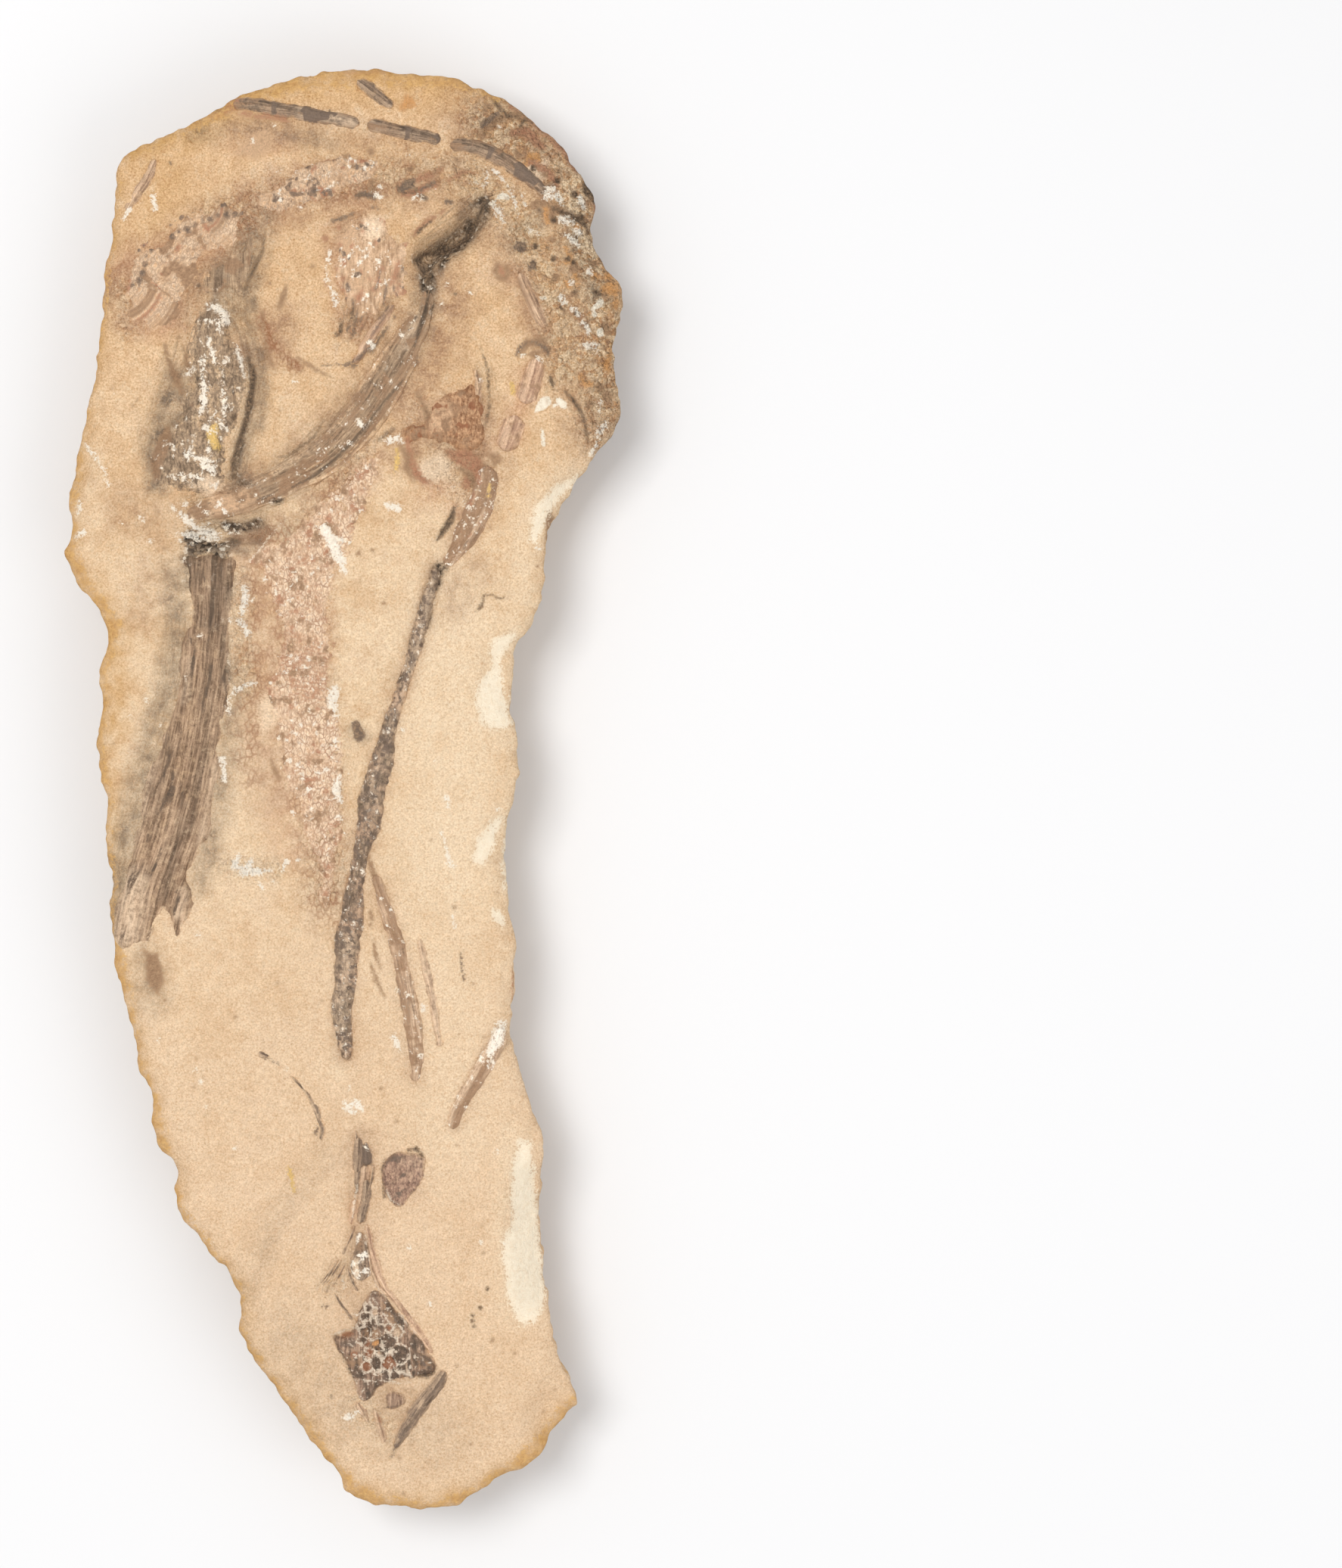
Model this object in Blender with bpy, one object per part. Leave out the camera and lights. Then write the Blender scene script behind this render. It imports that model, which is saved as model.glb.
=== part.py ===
"""Fossil fish slab: one half of a split stone nodule with the bones and scales of a fish set in its face.

The slab lies on its back. +Z points up out of the split face, +Y runs along the slab and +X across it.
Every piece of bone is a solid of its own, seated in a pocket in the stone with a hairline gap around it.
Plan coordinates are millimetres in the plane of the face, read from the slab's centre.
"""

import math

import bmesh
import bpy
from mathutils import Vector, noise
from mathutils.geometry import delaunay_2d_cdt

# ---------------------------------------------------------------- driving dimensions (millimetres)
MM = 0.001
FACE_LEVEL = 38.0        # height of the split face above the flat that the slab rests on
RIM_ROLL = 3.2           # the face's edge rolls down this far ...
RIM_BAND = 7.0           # ... over a band this wide
FACE_GRID = 8.4          # spacing of the points that carry the face's relief
FACE_DOME = 1.6          # the middle of the face stands this much above its long edges
SWELL = 1.3              # height of the face's broad swells ...
SWELL_SIZE = 55.0        # ... and the distance from one to the next
ROUGH_SIZE = 17.0        # spacing of the lumps on the walls and the back
POCKET_GAP = 0.3         # clearance between a bone and the stone around it
BONE_DEPTH = 2.6         # how far a bone goes down into the stone
LIP = 0.15               # a bone's edge stands this much proud of the stone
CUTTER_TOP = 16.0        # the pockets' cutters reach this far above the face

# The slab's outline, clockwise from the upper left corner.
OUTLINE = [
    (-78, 215), (-74, 219.5), (-65, 224.5), (-55, 228.5), (-47, 232), (-41, 236), (-34, 239.3),
    (-22, 243), (-10, 246.3), (5, 247.3), (10, 247.7), (20, 246.5), (38, 245), (45, 241.2), (53, 237.5),
    (60, 234), (66, 228.5), (75, 220.5), (80, 213), (85.5, 205.5), (86.5, 198), (85.3, 192.5),
    (87, 185.5), (91.5, 178), (95, 172), (96, 168), (95, 160.5), (92.8, 155), (93.2, 145), (94.5, 131),
    (93, 125), (88, 117.5), (84, 111), (78, 103.5), (73.5, 96), (70, 88), (69, 80), (68.8, 69),
    (66.8, 61.5), (63.5, 55), (60, 51), (58, 44), (57, 35), (56.6, 27), (58.5, 20), (59.4, 10), (59.3, 0),
    (57.3, -6), (54.8, -15), (55.5, -25), (55.8, -36), (58.3, -49), (58.8, -60), (58.8, -70), (57.2, -78),
    (58.5, -90), (61.5, -103), (65.5, -113), (68, -122), (67.5, -133), (67, -150), (68.8, -167),
    (70, -176), (71, -184), (75, -199), (80, -211), (77, -216), (70.5, -223.5), (66, -231.5), (57, -236),
    (48, -241), (39, -246.5), (28, -248), (16, -246.7), (7, -245.3), (0, -241.5), (-3, -234), (-9, -229),
    (-14, -220.5), (-21, -212), (-25.5, -205), (-32, -197.5), (-36, -187), (-36.5, -176), (-40, -167),
    (-48, -159.5), (-52, -153), (-58.5, -144), (-59, -130.5), (-64, -124.5), (-66.5, -114),
    (-66.3, -105.5), (-71.5, -96), (-73, -85), (-76, -74), (-79, -59), (-81.4, -43), (-80.5, -30),
    (-82.6, -18.5), (-82, -6), (-85, 10), (-86.2, 17), (-84, 31), (-85, 40), (-82, 53), (-85.5, 63.5),
    (-92, 70.5), (-96.3, 78), (-95.3, 88), (-95, 100), (-93.5, 113), (-90, 126), (-87, 142), (-84.5, 158),
    (-83, 178), (-80.5, 195),
]

# The middle line of the slab's back, to which its sides draw in: x at each y.
BACK_LINE = [(-170, 18), (-100, -2), (0, -12), (100, 0), (165, 8)]

# The side, from the rim down to the flat: part of the edge's height, and how far the side has drawn in
# towards the back line there, on the rounded left side and on the broken, steep right side.
SIDE_RINGS = [
    (0.82, 0.010, 0.004),
    (0.60, 0.045, 0.022),
    (0.37, 0.120, 0.060),
    (0.17, 0.240, 0.130),
    (0.05, 0.370, 0.230),
    (0.00, 0.480, 0.330),
]

# Relief that belongs to the stone: each is a line, half its width, and how far it rises (or, below 0, sinks).
RIDGES = {
    "ledge over the arch": ([(47, 205), (40, 199), (33, 192.5), (27, 189), (21, 184)], 6, 2.0),
    "hollow under the ledge": ([(45, 198), (38, 189.5), (30, 185), (27, 178)], 9, -3.2),
    "deep slot under the ledge": ([(42, 193), (36, 188), (29, 184)], 6, -3.8),
    "bed of the arch": ([(27, 170), (21, 156), (10, 139), (0, 123), (-14, 109), (-30, 100)], 9, -2.2),
    "swelling beside the arch": ([(-6, 134), (-16, 124), (-28, 116)], 12, 1.8),
    "recess over the shaft": ([(-50, 86), (-40, 88), (-30, 88)], 6, -3.5),
    "knob": ([(-26, 94), (-24, 92)], 6, 2.5),
    "chalky heap": ([(-44, 158), (-43, 138), (-46, 118), (-56, 110)], 13, 3.0),
    "crest at the fin": ([(-68, 186), (-56, 195), (-44, 199)], 8, 2.0),
    "long crest": ([(-22, 96), (-8, 72), (-12, 40), (-4, 6)], 16, 1.6),
    "furrow beside the rod": ([(36, 84), (22, 45), (2, 10), (-4, -30)], 8, -1.6),
    "edge of the hollow": ([(2, -116), (-14, -134), (-27, -151), (-33, -166), (-34, -182)], 7, 2.2),
    "floor of the hollow": ([(14, -126), (0, -150), (-8, -168), (-4, -186)], 16, -2.6),
}

# Flakes struck off the edge: middle, half-length along the edge, half-width, depth.
FLAKES = {
    "cream scar": ((56, 34), 20, 12, 3.6),
    "short scar": ((56, -20), 12, 12, 3.0),
    "shoulder scar": ((78, 96), 20, 10, 4.0),
    "long scar": ((66, -152), 36, 12, 4.4),
    "foot scar": ((72, -216), 16, 12, 6.0),
    "left scar": ((-93, 112), 16, 9, 4.0),
}

# Bones that are rods: name, rise over the stone, colour name, then x, y and width along the middle line.
RODS = {
    "head_bar_left": (1.6, "grey_bone", [
        (-38, 235, 3.2), (-30, 234.6, 4.6), (-24, 233.5, 4.6), (-15, 232, 4.8), (-7, 230.5, 4.6),
        (0, 229.5, 4.6), (5, 228.2, 4.0)]),
    "head_bar_middle": (1.6, "grey_bone", [(8, 228, 4.2), (15, 226.5, 4.8), (25, 224.5, 4.6), (33, 222.7, 4.0)]),
    "head_bar_right": (1.8, "grey_bone", [
        (36.5, 221, 4.4), (45, 220.3, 5), (52, 217.5, 5.2), (60, 212.5, 5), (65, 208.5, 4.6),
        (69, 204.5, 3)]),
    "top_splinter": (1.2, "dark_bone", [
        (4.5, 243, 2.6), (7, 241.3, 4), (10, 239, 4.4), (14, 236, 3.6), (16.5, 234, 2)]),
    "edge_splinter": (0.9, "brown_bone", [
        (-65, 216, 2.4), (-68, 209.5, 3.6), (-72, 203.5, 3.6), (-75, 198.5, 2.4)]),
    "arch_bone": (1.5, "dark_bone", [
        (28.6, 172, 3), (27.4, 165, 5), (24.6, 158, 8), (20.6, 151, 11), (16.6, 144, 12.5),
        (12.4, 137, 13.5), (7.6, 129.5, 14), (1, 121.5, 13), (-7, 114, 12.5), (-16, 108.5, 11),
        (-26, 103, 9.5), (-36, 99, 8.5), (-46, 96, 7), (-54, 93.5, 4)]),
    "gill_splinter": (1.3, "red_bone", [
        (17, 166, 1.6), (14, 162, 2.6), (11, 158, 3), (8.5, 154, 3), (6, 150, 2.6), (3.5, 146, 1.8)]),
    "shoulder_rod_upper": (1.2, "brown_bone", [
        (60.4, 177, 2.4), (62, 173, 4.0), (64.4, 168, 4.4), (66.6, 163, 4.4), (69, 158.4, 2.4)]),
    "shoulder_rod_middle": (2.0, "red_bone", [
        (66.2, 147.6, 4.6), (65.2, 143, 6.4), (63.6, 137.4, 7.6), (61.9, 132.2, 6.8)]),
    "shoulder_rod_lower": (2.0, "red_bone", [
        (58.8, 128, 6.6), (58, 124.4, 7.6), (56.4, 119.6, 7.4), (55, 116, 5.6)]),
    "club_bone": (2.4, "brown_bone", [
        (49.4, 110.5, 5.4), (49, 106, 8), (47.6, 100, 9), (45, 93, 9), (41.4, 86, 8.4), (37.6, 80.4, 5.6),
        (34.6, 76.8, 3.4)]),
    "long_rod": (2.6, "grey_bone", [
        (31.6, 75.5, 3), (29.4, 67, 3.8), (26.6, 57.5, 4.4), (24, 47, 5), (21, 38.5, 3.6),
        (17.8, 28.5, 4.2), (15, 19, 5.6), (13, 9, 7.6), (9.8, -2, 9), (8.6, -12, 8.2), (5.6, -22.5, 5.2),
        (4, -33, 5.8), (2.6, -44, 8), (1, -55, 8.6), (0.4, -67, 7.6), (-1, -77, 6.6), (0.4, -87, 5),
        (1, -93, 2.6)]),
    "fork_bone": (1.6, "brown_bone", [
        (10.6, -30, 3), (13, -38, 4), (16, -46, 4.6), (18.6, -55, 5.2), (20.6, -66, 5.4), (23, -78, 5.8),
        (24.4, -88, 5.8), (24.8, -95, 5), (24.4, -100.5, 3.2)]),
    "thin_rod": (1.2, "brown_bone", [
        (26, -52, 1.8), (27.4, -59, 2.6), (29.2, -67, 2.8), (31, -77, 2.6), (32.8, -88.5, 1.8)]),
    "side_bone": (1.4, "brown_bone", [
        (54, -82.5, 2.8), (52.6, -87, 5), (49.6, -93, 5.6), (46, -99.4, 5.6), (42, -106, 5.6),
        (38.8, -112.4, 5), (37.2, -117, 3)]),
    "neck_blade_upper": (1.1, "dark_bone", [(5, -120, 2.4), (4.8, -126, 4.4), (4.3, -132, 2.8)]),
    "neck_blade_lower": (1.1, "dark_bone", [
        (7.6, -134.8, 2.8), (7.4, -139.4, 3.6), (6.4, -144.6, 3.4), (5.2, -149.4, 2.2)]),
    "neck_stem": (1.2, "dark_bone", [(5.2, -152.8, 2.2), (5.8, -158, 4.2), (5.8, -163.4, 7), (5.6, -169, 5.6)]),
    "tail_spine": (1.6, "dark_bone", [
        (34.6, -200.4, 3), (31.5, -205.4, 4.6), (27.5, -210.6, 4.8), (23, -217, 4.4), (19.8, -222.5, 3.4),
        (17.6, -226.6, 1.6)]),
}

# Bones and scale sheets that are plates: name, rise, colour name, then the outline.
PLATES = {
    "fin_scales": (1.3, "red_bone", [
        (-29.6, 204.6), (-24, 207.4), (-19, 212), (-13, 214.6), (-6, 216.6), (2, 217.6), (9, 217.4),
        (13, 214), (10, 209.6), (3, 206), (-4, 202.6), (-12, 199.4), (-20, 197.4), (-27, 197),
        (-30, 199.6)]),
    "fin_lobe": (2.0, "red_bone", [
        (-78, 176), (-76.4, 180), (-73.6, 183.4), (-69, 187), (-63, 191.4), (-58, 195.6), (-52, 199.4),
        (-45, 201.4), (-38, 203), (-33.6, 202.6), (-32.4, 199), (-33.4, 193.6), (-37, 188),
        (-42.4, 185.4), (-47.6, 183.4), (-50, 177.4), (-52, 170.6), (-54.4, 164), (-58.4, 158.8),
        (-64, 156.4), (-70, 157), (-74.6, 160.4), (-77.4, 166), (-78.2, 171)]),
    "cheek_bone": (1.3, "dark_bone", [
        (-45.6, 181), (-41, 182.8), (-36.4, 184.4), (-33.6, 190), (-30.6, 191), (-28.8, 185),
        (-30.6, 177.6), (-33, 171.6), (-35.6, 167.8), (-42, 168.6), (-48, 168.4), (-49.6, 171.6),
        (-47.8, 176.6)]),
    "gill_plate": (1.6, "grey_bone", [
        (-4.6, 186), (-2.6, 192), (1, 196), (6, 199), (11, 199.4), (15, 197), (19, 191.6), (22.4, 186),
        (24.2, 180), (24.2, 174), (22, 169.6), (18.4, 169), (15, 168), (12, 163.4), (8.6, 160),
        (5, 158.4), (1.6, 160), (-1, 164), (-2.4, 170), (-4.6, 176), (-6, 181)]),
    "chalky_bone": (2.2, "chalky_bone", [
        (-47.6, 166), (-40.4, 165.4), (-37.6, 161.6), (-38.4, 155), (-34.6, 148.6), (-32.8, 142.6),
        (-33.6, 134.6), (-35.8, 125), (-38.6, 117), (-40.6, 110.4), (-40.4, 104.6), (-46, 101.4),
        (-54, 99.6), (-62, 101.4), (-66.4, 104), (-67.3, 110), (-66.8, 116), (-63.4, 121), (-59.6, 125),
        (-57, 132), (-53.6, 138), (-54.4, 146), (-55.6, 152), (-52.6, 159.6)]),
    "amber_plate": (1.6, "amber_bone", [
        (20, 123.6), (26, 126), (30, 133.6), (38, 137), (44, 140.4), (47.4, 136), (49.4, 129),
        (48.4, 120.4), (45, 115.6), (40, 114.6), (36, 117.6), (28, 119), (22, 117.4)]),
    "striated_shaft": (1.6, "shaft_bone", [
        (-54.6, 80), (-54.8, 72), (-52.4, 61), (-56.6, 51), (-58, 38), (-60.4, 27), (-64.4, 15.6),
        (-69.6, 2), (-71.6, -10.6), (-74.8, -27), (-79, -43), (-79.6, -51), (-75, -55.4), (-68.4, -54),
        (-65.6, -46), (-62.4, -40.8), (-59.6, -46), (-57.6, -51.6), (-55, -45), (-51.4, -39.6),
        (-53, -31), (-50.4, -22), (-46, -14.6), (-44.4, -6), (-43, 5), (-41.4, 18), (-38.6, 32),
        (-38.8, 46), (-38.4, 60), (-37.6, 72), (-38, 79)]),
    "flank_scales": (0.8, "scale_sheet", [
        (-33.6, 78.4), (-29, 84.4), (-20, 87), (-14, 93), (-8, 100), (0, 107), (6, 112), (10.6, 115.4),
        (13, 110), (10.6, 103), (8.4, 96), (6, 88), (2, 80), (-2, 70), (-3.4, 60), (-4, 44), (-3.6, 31),
        (0.6, 18), (2, 6), (0.6, -8), (-1.2, -22), (-3.4, -38), (-7, -43), (-10, -38), (-9, -30),
        (-15.6, -16), (-19.6, -1), (-23.4, 9), (-25, 20), (-27.4, 34), (-23, 46), (-23, 56), (-26.6, 67),
        (-30, 74)]),
    "oval_bone": (1.5, "red_bone", [
        (13.4, -130.6), (16, -127.2), (20, -125.6), (24.4, -124.8), (27.6, -127), (28.2, -131),
        (27, -135.4), (24, -140), (20, -143.4), (16.4, -142.6), (13.8, -138.6)]),
    "skull_bones": (2.0, "skull_bone", [
        (-4, -189), (1, -186.8), (4.4, -183), (6, -178), (8.4, -173), (12, -172), (16, -176), (20, -181),
        (24, -186), (27.4, -190.6), (31, -197.4), (29.6, -201), (24.6, -203), (18, -203.6), (12.4, -205),
        (9.6, -209.4), (5.6, -209.6), (2.8, -204), (0.6, -197), (-2.4, -192.4)]),
    "jaw_plate": (1.1, "skull_bone", [
        (13.8, -208.6), (17, -207), (20.4, -208.6), (21.4, -211.4), (19, -213.4), (16, -213.8),
        (14.2, -211.4)]),
}

# Colours are linear red, green, blue, with each one's roughness.
FINISHES = {
    "stone": ((0.69, 0.51, 0.33), 0.92),
    "grey_bone": ((0.22, 0.17, 0.12), 0.62),
    "dark_bone": ((0.16, 0.12, 0.09), 0.60),
    "brown_bone": ((0.36, 0.24, 0.16), 0.65),
    "red_bone": ((0.38, 0.22, 0.15), 0.65),
    "chalky_bone": ((0.55, 0.48, 0.40), 0.90),
    "amber_bone": ((0.40, 0.20, 0.09), 0.50),
    "shaft_bone": ((0.28, 0.20, 0.13), 0.66),
    "scale_sheet": ((0.56, 0.38, 0.26), 0.70),
    "skull_bone": ((0.35, 0.19, 0.10), 0.55),
}


# ---------------------------------------------------------------- plan geometry
def centre_of(points):
    xs = [p[0] for p in points]
    ys = [p[1] for p in points]
    return (min(xs) + max(xs)) / 2, (min(ys) + max(ys)) / 2


CENTRE_X, CENTRE_Y = centre_of(OUTLINE)


def place(x, y, z):
    """Plan millimetres and a height to metres, with the origin under the middle of the slab."""
    return Vector(((x - CENTRE_X) * MM, (y - CENTRE_Y) * MM, z * MM))


def segment_distance(x, y, a, b):
    ax, ay = a
    dx, dy = b[0] - ax, b[1] - ay
    along = ((x - ax) * dx + (y - ay) * dy) / (dx * dx + dy * dy)
    along = max(0.0, min(1.0, along))
    return math.hypot(x - ax - along * dx, y - ay - along * dy)


def line_distance(x, y, points):
    return min(segment_distance(x, y, a, b) for a, b in zip(points, points[1:]))


def edge_distance(x, y, outline):
    return line_distance(x, y, outline + outline[:1])


def inside(x, y, outline):
    result = False
    for (ax, ay), (bx, by) in zip(outline, outline[1:] + outline[:1]):
        if (ay > y) != (by > y) and x < ax + (y - ay) * (bx - ax) / (by - ay):
            result = not result
    return result


def clockwise(outline):
    doubled = sum(a[0] * b[1] - b[0] * a[1] for a, b in zip(outline, outline[1:] + outline[:1]))
    return doubled < 0


def moved_out(outline, distance):
    """The outline with every corner moved outwards by the distance, measured square to its sides."""
    turn = 1 if clockwise(outline) else -1
    result = []
    count = len(outline)
    for i, here in enumerate(outline):
        before = Vector(here) - Vector(outline[i - 1])
        after = Vector(outline[(i + 1) % count]) - Vector(here)
        out_before = Vector((-before.y, before.x)).normalized() * turn
        out_after = Vector((-after.y, after.x)).normalized() * turn
        out = (out_before + out_after).normalized()
        reach = distance / max(0.5, out.dot(out_after))
        result.append((here[0] + out.x * reach, here[1] + out.y * reach))
    return result


def smooth_step(value):
    value = max(0.0, min(1.0, value))
    return value * value * (3 - 2 * value)


def curve_x(y, points):
    """x on the line of (y, x) points, held at its ends."""
    if y <= points[0][0]:
        return points[0][1]
    for (y0, x0), (y1, x1) in zip(points, points[1:]):
        if y <= y1:
            return x0 + (x1 - x0) * (y - y0) / (y1 - y0)
    return points[-1][1]


# ---------------------------------------------------------------- the face's relief
def flake_depth(x, y, flake):
    (cx, cy), half_length, half_width, depth = flake
    radius = math.hypot((x - cx) / half_width, (y - cy) / half_length)
    return depth * smooth_step(1.15 - radius)


def face_height(x, y):
    """Height of the stone's split face, with no bone on it."""
    height = FACE_LEVEL - FACE_DOME * (x / 90) ** 2
    height += SWELL * noise.noise(Vector((x / SWELL_SIZE, y / SWELL_SIZE, 1.7)))
    for line, half_width, rise in RIDGES.values():
        height += rise * smooth_step(1 - line_distance(x, y, line) / half_width)
    for flake in FLAKES.values():
        height -= flake_depth(x, y, flake)
    from_rim = edge_distance(x, y, OUTLINE)
    height -= RIM_ROLL * max(0.0, 1 - from_rim / RIM_BAND) ** 2
    return height


# ---------------------------------------------------------------- solids
def triangulate(outline, inner):
    """Triangles over the plan outline and the points inside it, facing up, with the plan points."""
    points = [Vector(p) for p in outline + inner]
    if clockwise(outline):
        loop = list(range(len(outline) - 1, -1, -1))
    else:
        loop = list(range(len(outline)))
    found = delaunay_2d_cdt(points, [], [loop], 1, 1e-4)
    return [(p.x, p.y) for p in found[0]], found[2], found[3]


def solid(name, outline, inner, top, side_rings, bottom):
    """A closed solid: a top sheet over the outline and its inner points, side rings, and a bottom sheet."""
    mesh = bpy.data.meshes.new(name)
    shape = bmesh.new()
    top_points, top_faces, top_origin = triangulate(outline, inner)
    top_verts = [shape.verts.new(place(x, y, top(x, y))) for x, y in top_points]
    for face in top_faces:
        shape.faces.new([top_verts[i] for i in face])
    rim = {old: top_verts[i] for i, olds in enumerate(top_origin) for old in olds}
    ring = [rim[i] for i in range(len(outline))]
    count = len(outline)
    for level in side_rings + [bottom]:
        below = [shape.verts.new(place(*point)) for point in level]
        for i in range(count):
            j = (i + 1) % count
            shape.faces.new([ring[i], ring[j], below[j], below[i]])
        ring = below
    _, bottom_faces, _ = triangulate(outline, [])
    for face in bottom_faces:
        shape.faces.new([ring[i] for i in reversed(face)])
    bmesh.ops.recalc_face_normals(shape, faces=shape.faces)
    shape.to_mesh(mesh)
    shape.free()
    return bpy.data.objects.new(name, mesh)


def finish_material(name, finish):
    colour, roughness = FINISHES[finish]
    material = bpy.data.materials.new(name + "_finish")
    material.use_nodes = True
    shader = material.node_tree.nodes["Principled BSDF"]
    shader.inputs["Base Color"].default_value = (*colour, 1)
    shader.inputs["Roughness"].default_value = roughness
    shader.inputs["Metallic"].default_value = 0
    material.diffuse_color = (*colour, 1)
    return material


def grid_inside(outline, spacing, margin):
    """Points of a staggered grid that lie inside the outline, at least the margin from its edge."""
    xs = [p[0] for p in outline]
    ys = [p[1] for p in outline]
    found = []
    row = 0
    y = min(ys) + spacing / 2
    while y < max(ys):
        x = min(xs) + spacing * (0.5 if row % 2 else 1.0)
        while x < max(xs):
            if inside(x, y, outline) and edge_distance(x, y, outline) > margin:
                found.append((x, y))
            x += spacing
        y += spacing * math.sqrt(3) / 2
        row += 1
    return found


def bone_solids(name, outline, inner, rise, parts, cutters):
    """A bone with a crowned top, and the cutter of its pocket."""
    def top(x, y):
        from_edge = edge_distance(x, y, outline)
        crown = rise * smooth_step(from_edge / 2.0) if from_edge > 0.05 else 0.0
        return face_height(x, y) + LIP + crown

    bottom = [(x, y, face_height(x, y) - BONE_DEPTH) for x, y in outline]
    parts.objects.link(solid(name, outline, inner, top, [], bottom))

    wider = moved_out(outline, POCKET_GAP)
    floor = [(x, y, z - POCKET_GAP) for (x, y), (_, _, z) in zip(wider, bottom)]
    cutter = solid(name + "_pocket", wider, [], lambda x, y: FACE_LEVEL + CUTTER_TOP, [], floor)
    cutter.hide_render = True
    cutter.display_type = "WIRE"
    cutters.objects.link(cutter)


def rod_outline(stations):
    """The outline of a rod from its middle line and widths, and the points of its crest."""
    left, right, crest = [], [], []
    for i, (x, y, width) in enumerate(stations):
        before = stations[max(0, i - 1)]
        after = stations[min(len(stations) - 1, i + 1)]
        along = Vector((after[0] - before[0], after[1] - before[1])).normalized()
        side = Vector((-along.y, along.x)) * (width / 2)
        left.append((x + side.x, y + side.y))
        right.append((x - side.x, y - side.y))
        crest.append((x, y))
    first = Vector(crest[0]) - (Vector(crest[1]) - Vector(crest[0])).normalized() * stations[0][2] * 0.4
    last = Vector(crest[-1]) + (Vector(crest[-1]) - Vector(crest[-2])).normalized() * stations[-1][2] * 0.4
    outline = [tuple(first)] + left + [tuple(last)] + right[::-1]
    return outline, crest


def plate_inner(outline):
    """Points just inside a plate's edge and a coarse grid over its middle."""
    edge_band = moved_out(outline, -2.0)
    near = [p for p in edge_band[::2] if inside(*p, outline) and edge_distance(*p, outline) > 1.4]
    return near + grid_inside(outline, 10.0, 4.5)


def far_from(points, others, distance):
    return [p for p in points if all(math.hypot(p[0] - q[0], p[1] - q[1]) > distance for q in others)]


def relief_points():
    """Points along the stone's ridges and their two feet, so that the coarse face keeps their form."""
    found = []
    for line, half_width, _ in RIDGES.values():
        for shift in (-half_width * 0.8, 0, half_width * 0.8):
            for i, (x, y) in enumerate(line):
                before = line[max(0, i - 1)]
                after = line[min(len(line) - 1, i + 1)]
                along = Vector((after[0] - before[0], after[1] - before[1])).normalized()
                point = (x - along.y * shift, y + along.x * shift)
                if inside(*point, OUTLINE) and edge_distance(*point, OUTLINE) > RIM_BAND:
                    found += far_from([point], found, 4.0)
    return found


def build_slab(parts, cutters):
    roll = [p for p in moved_out(OUTLINE, -RIM_BAND) if edge_distance(*p, OUTLINE) > RIM_BAND * 0.8]
    relief = relief_points()
    grid = far_from(grid_inside(OUTLINE, FACE_GRID, RIM_BAND + 3.5), relief, FACE_GRID * 0.6)
    inner = far_from(roll, relief, 3.0) + relief + grid

    rings = []
    for part_of_height, left_inset, right_inset in SIDE_RINGS:
        level = []
        for x, y in OUTLINE:
            target_y = max(-165.0, min(160.0, y))
            target_x = curve_x(target_y, BACK_LINE)
            out = Vector((x - target_x, y - target_y)).normalized()
            steep = smooth_step(0.5 + 0.7 * out.x + 0.35 * out.y)
            inset = left_inset + (right_inset - left_inset) * steep
            lump = noise.noise(Vector((x, y, part_of_height * 40)) / ROUGH_SIZE)
            inset += 0.022 * lump * math.sin(math.pi * min(1.0, part_of_height + 0.15))
            z = face_height(x, y) * part_of_height
            level.append((x + (target_x - x) * inset, y + (target_y - y) * inset, z))
        rings.append(level)
    slab = solid("stone_slab", OUTLINE, inner, face_height, rings[:-1], rings[-1])
    parts.objects.link(slab)
    cut = slab.modifiers.new("pockets", "BOOLEAN")
    cut.operation = "DIFFERENCE"
    cut.solver = "EXACT"
    cut.operand_type = "COLLECTION"
    cut.collection = cutters
    slab.data.materials.append(finish_material("stone_slab", "stone"))
    return slab


def main():
    for old in list(bpy.data.objects):
        bpy.data.objects.remove(old, do_unlink=True)
    parts = bpy.data.collections.new("fossil_fish_slab")
    cutters = bpy.data.collections.new("pocket_cutters")
    bpy.context.scene.collection.children.link(parts)
    bpy.context.scene.collection.children.link(cutters)

    for name, (rise, finish, stations) in RODS.items():
        outline, crest = rod_outline(stations)
        bone_solids(name, outline, crest, rise, parts, cutters)
        bpy.data.objects[name].data.materials.append(finish_material(name, finish))
    for name, (rise, finish, outline) in PLATES.items():
        bone_solids(name, outline, plate_inner(outline), rise, parts, cutters)
        bpy.data.objects[name].data.materials.append(finish_material(name, finish))
    build_slab(parts, cutters)


main()
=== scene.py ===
"""Looks of the fossil fish slab: the stone, every bone set in its face, the light and the camera.

Plan coordinates are millimetres in the plane of the split face, as in the solids' source: +X runs across
the slab and +Y towards its broad end. Heights are millimetres above the flat that the slab rests on.
Every noise takes the size of its lumps in millimetres, and a seed of its own as its last number.
"""
import math

import bpy
import numpy as np
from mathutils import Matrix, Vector
from mathutils import noise as perlin
from mathutils.geometry import delaunay_2d_cdt

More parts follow.
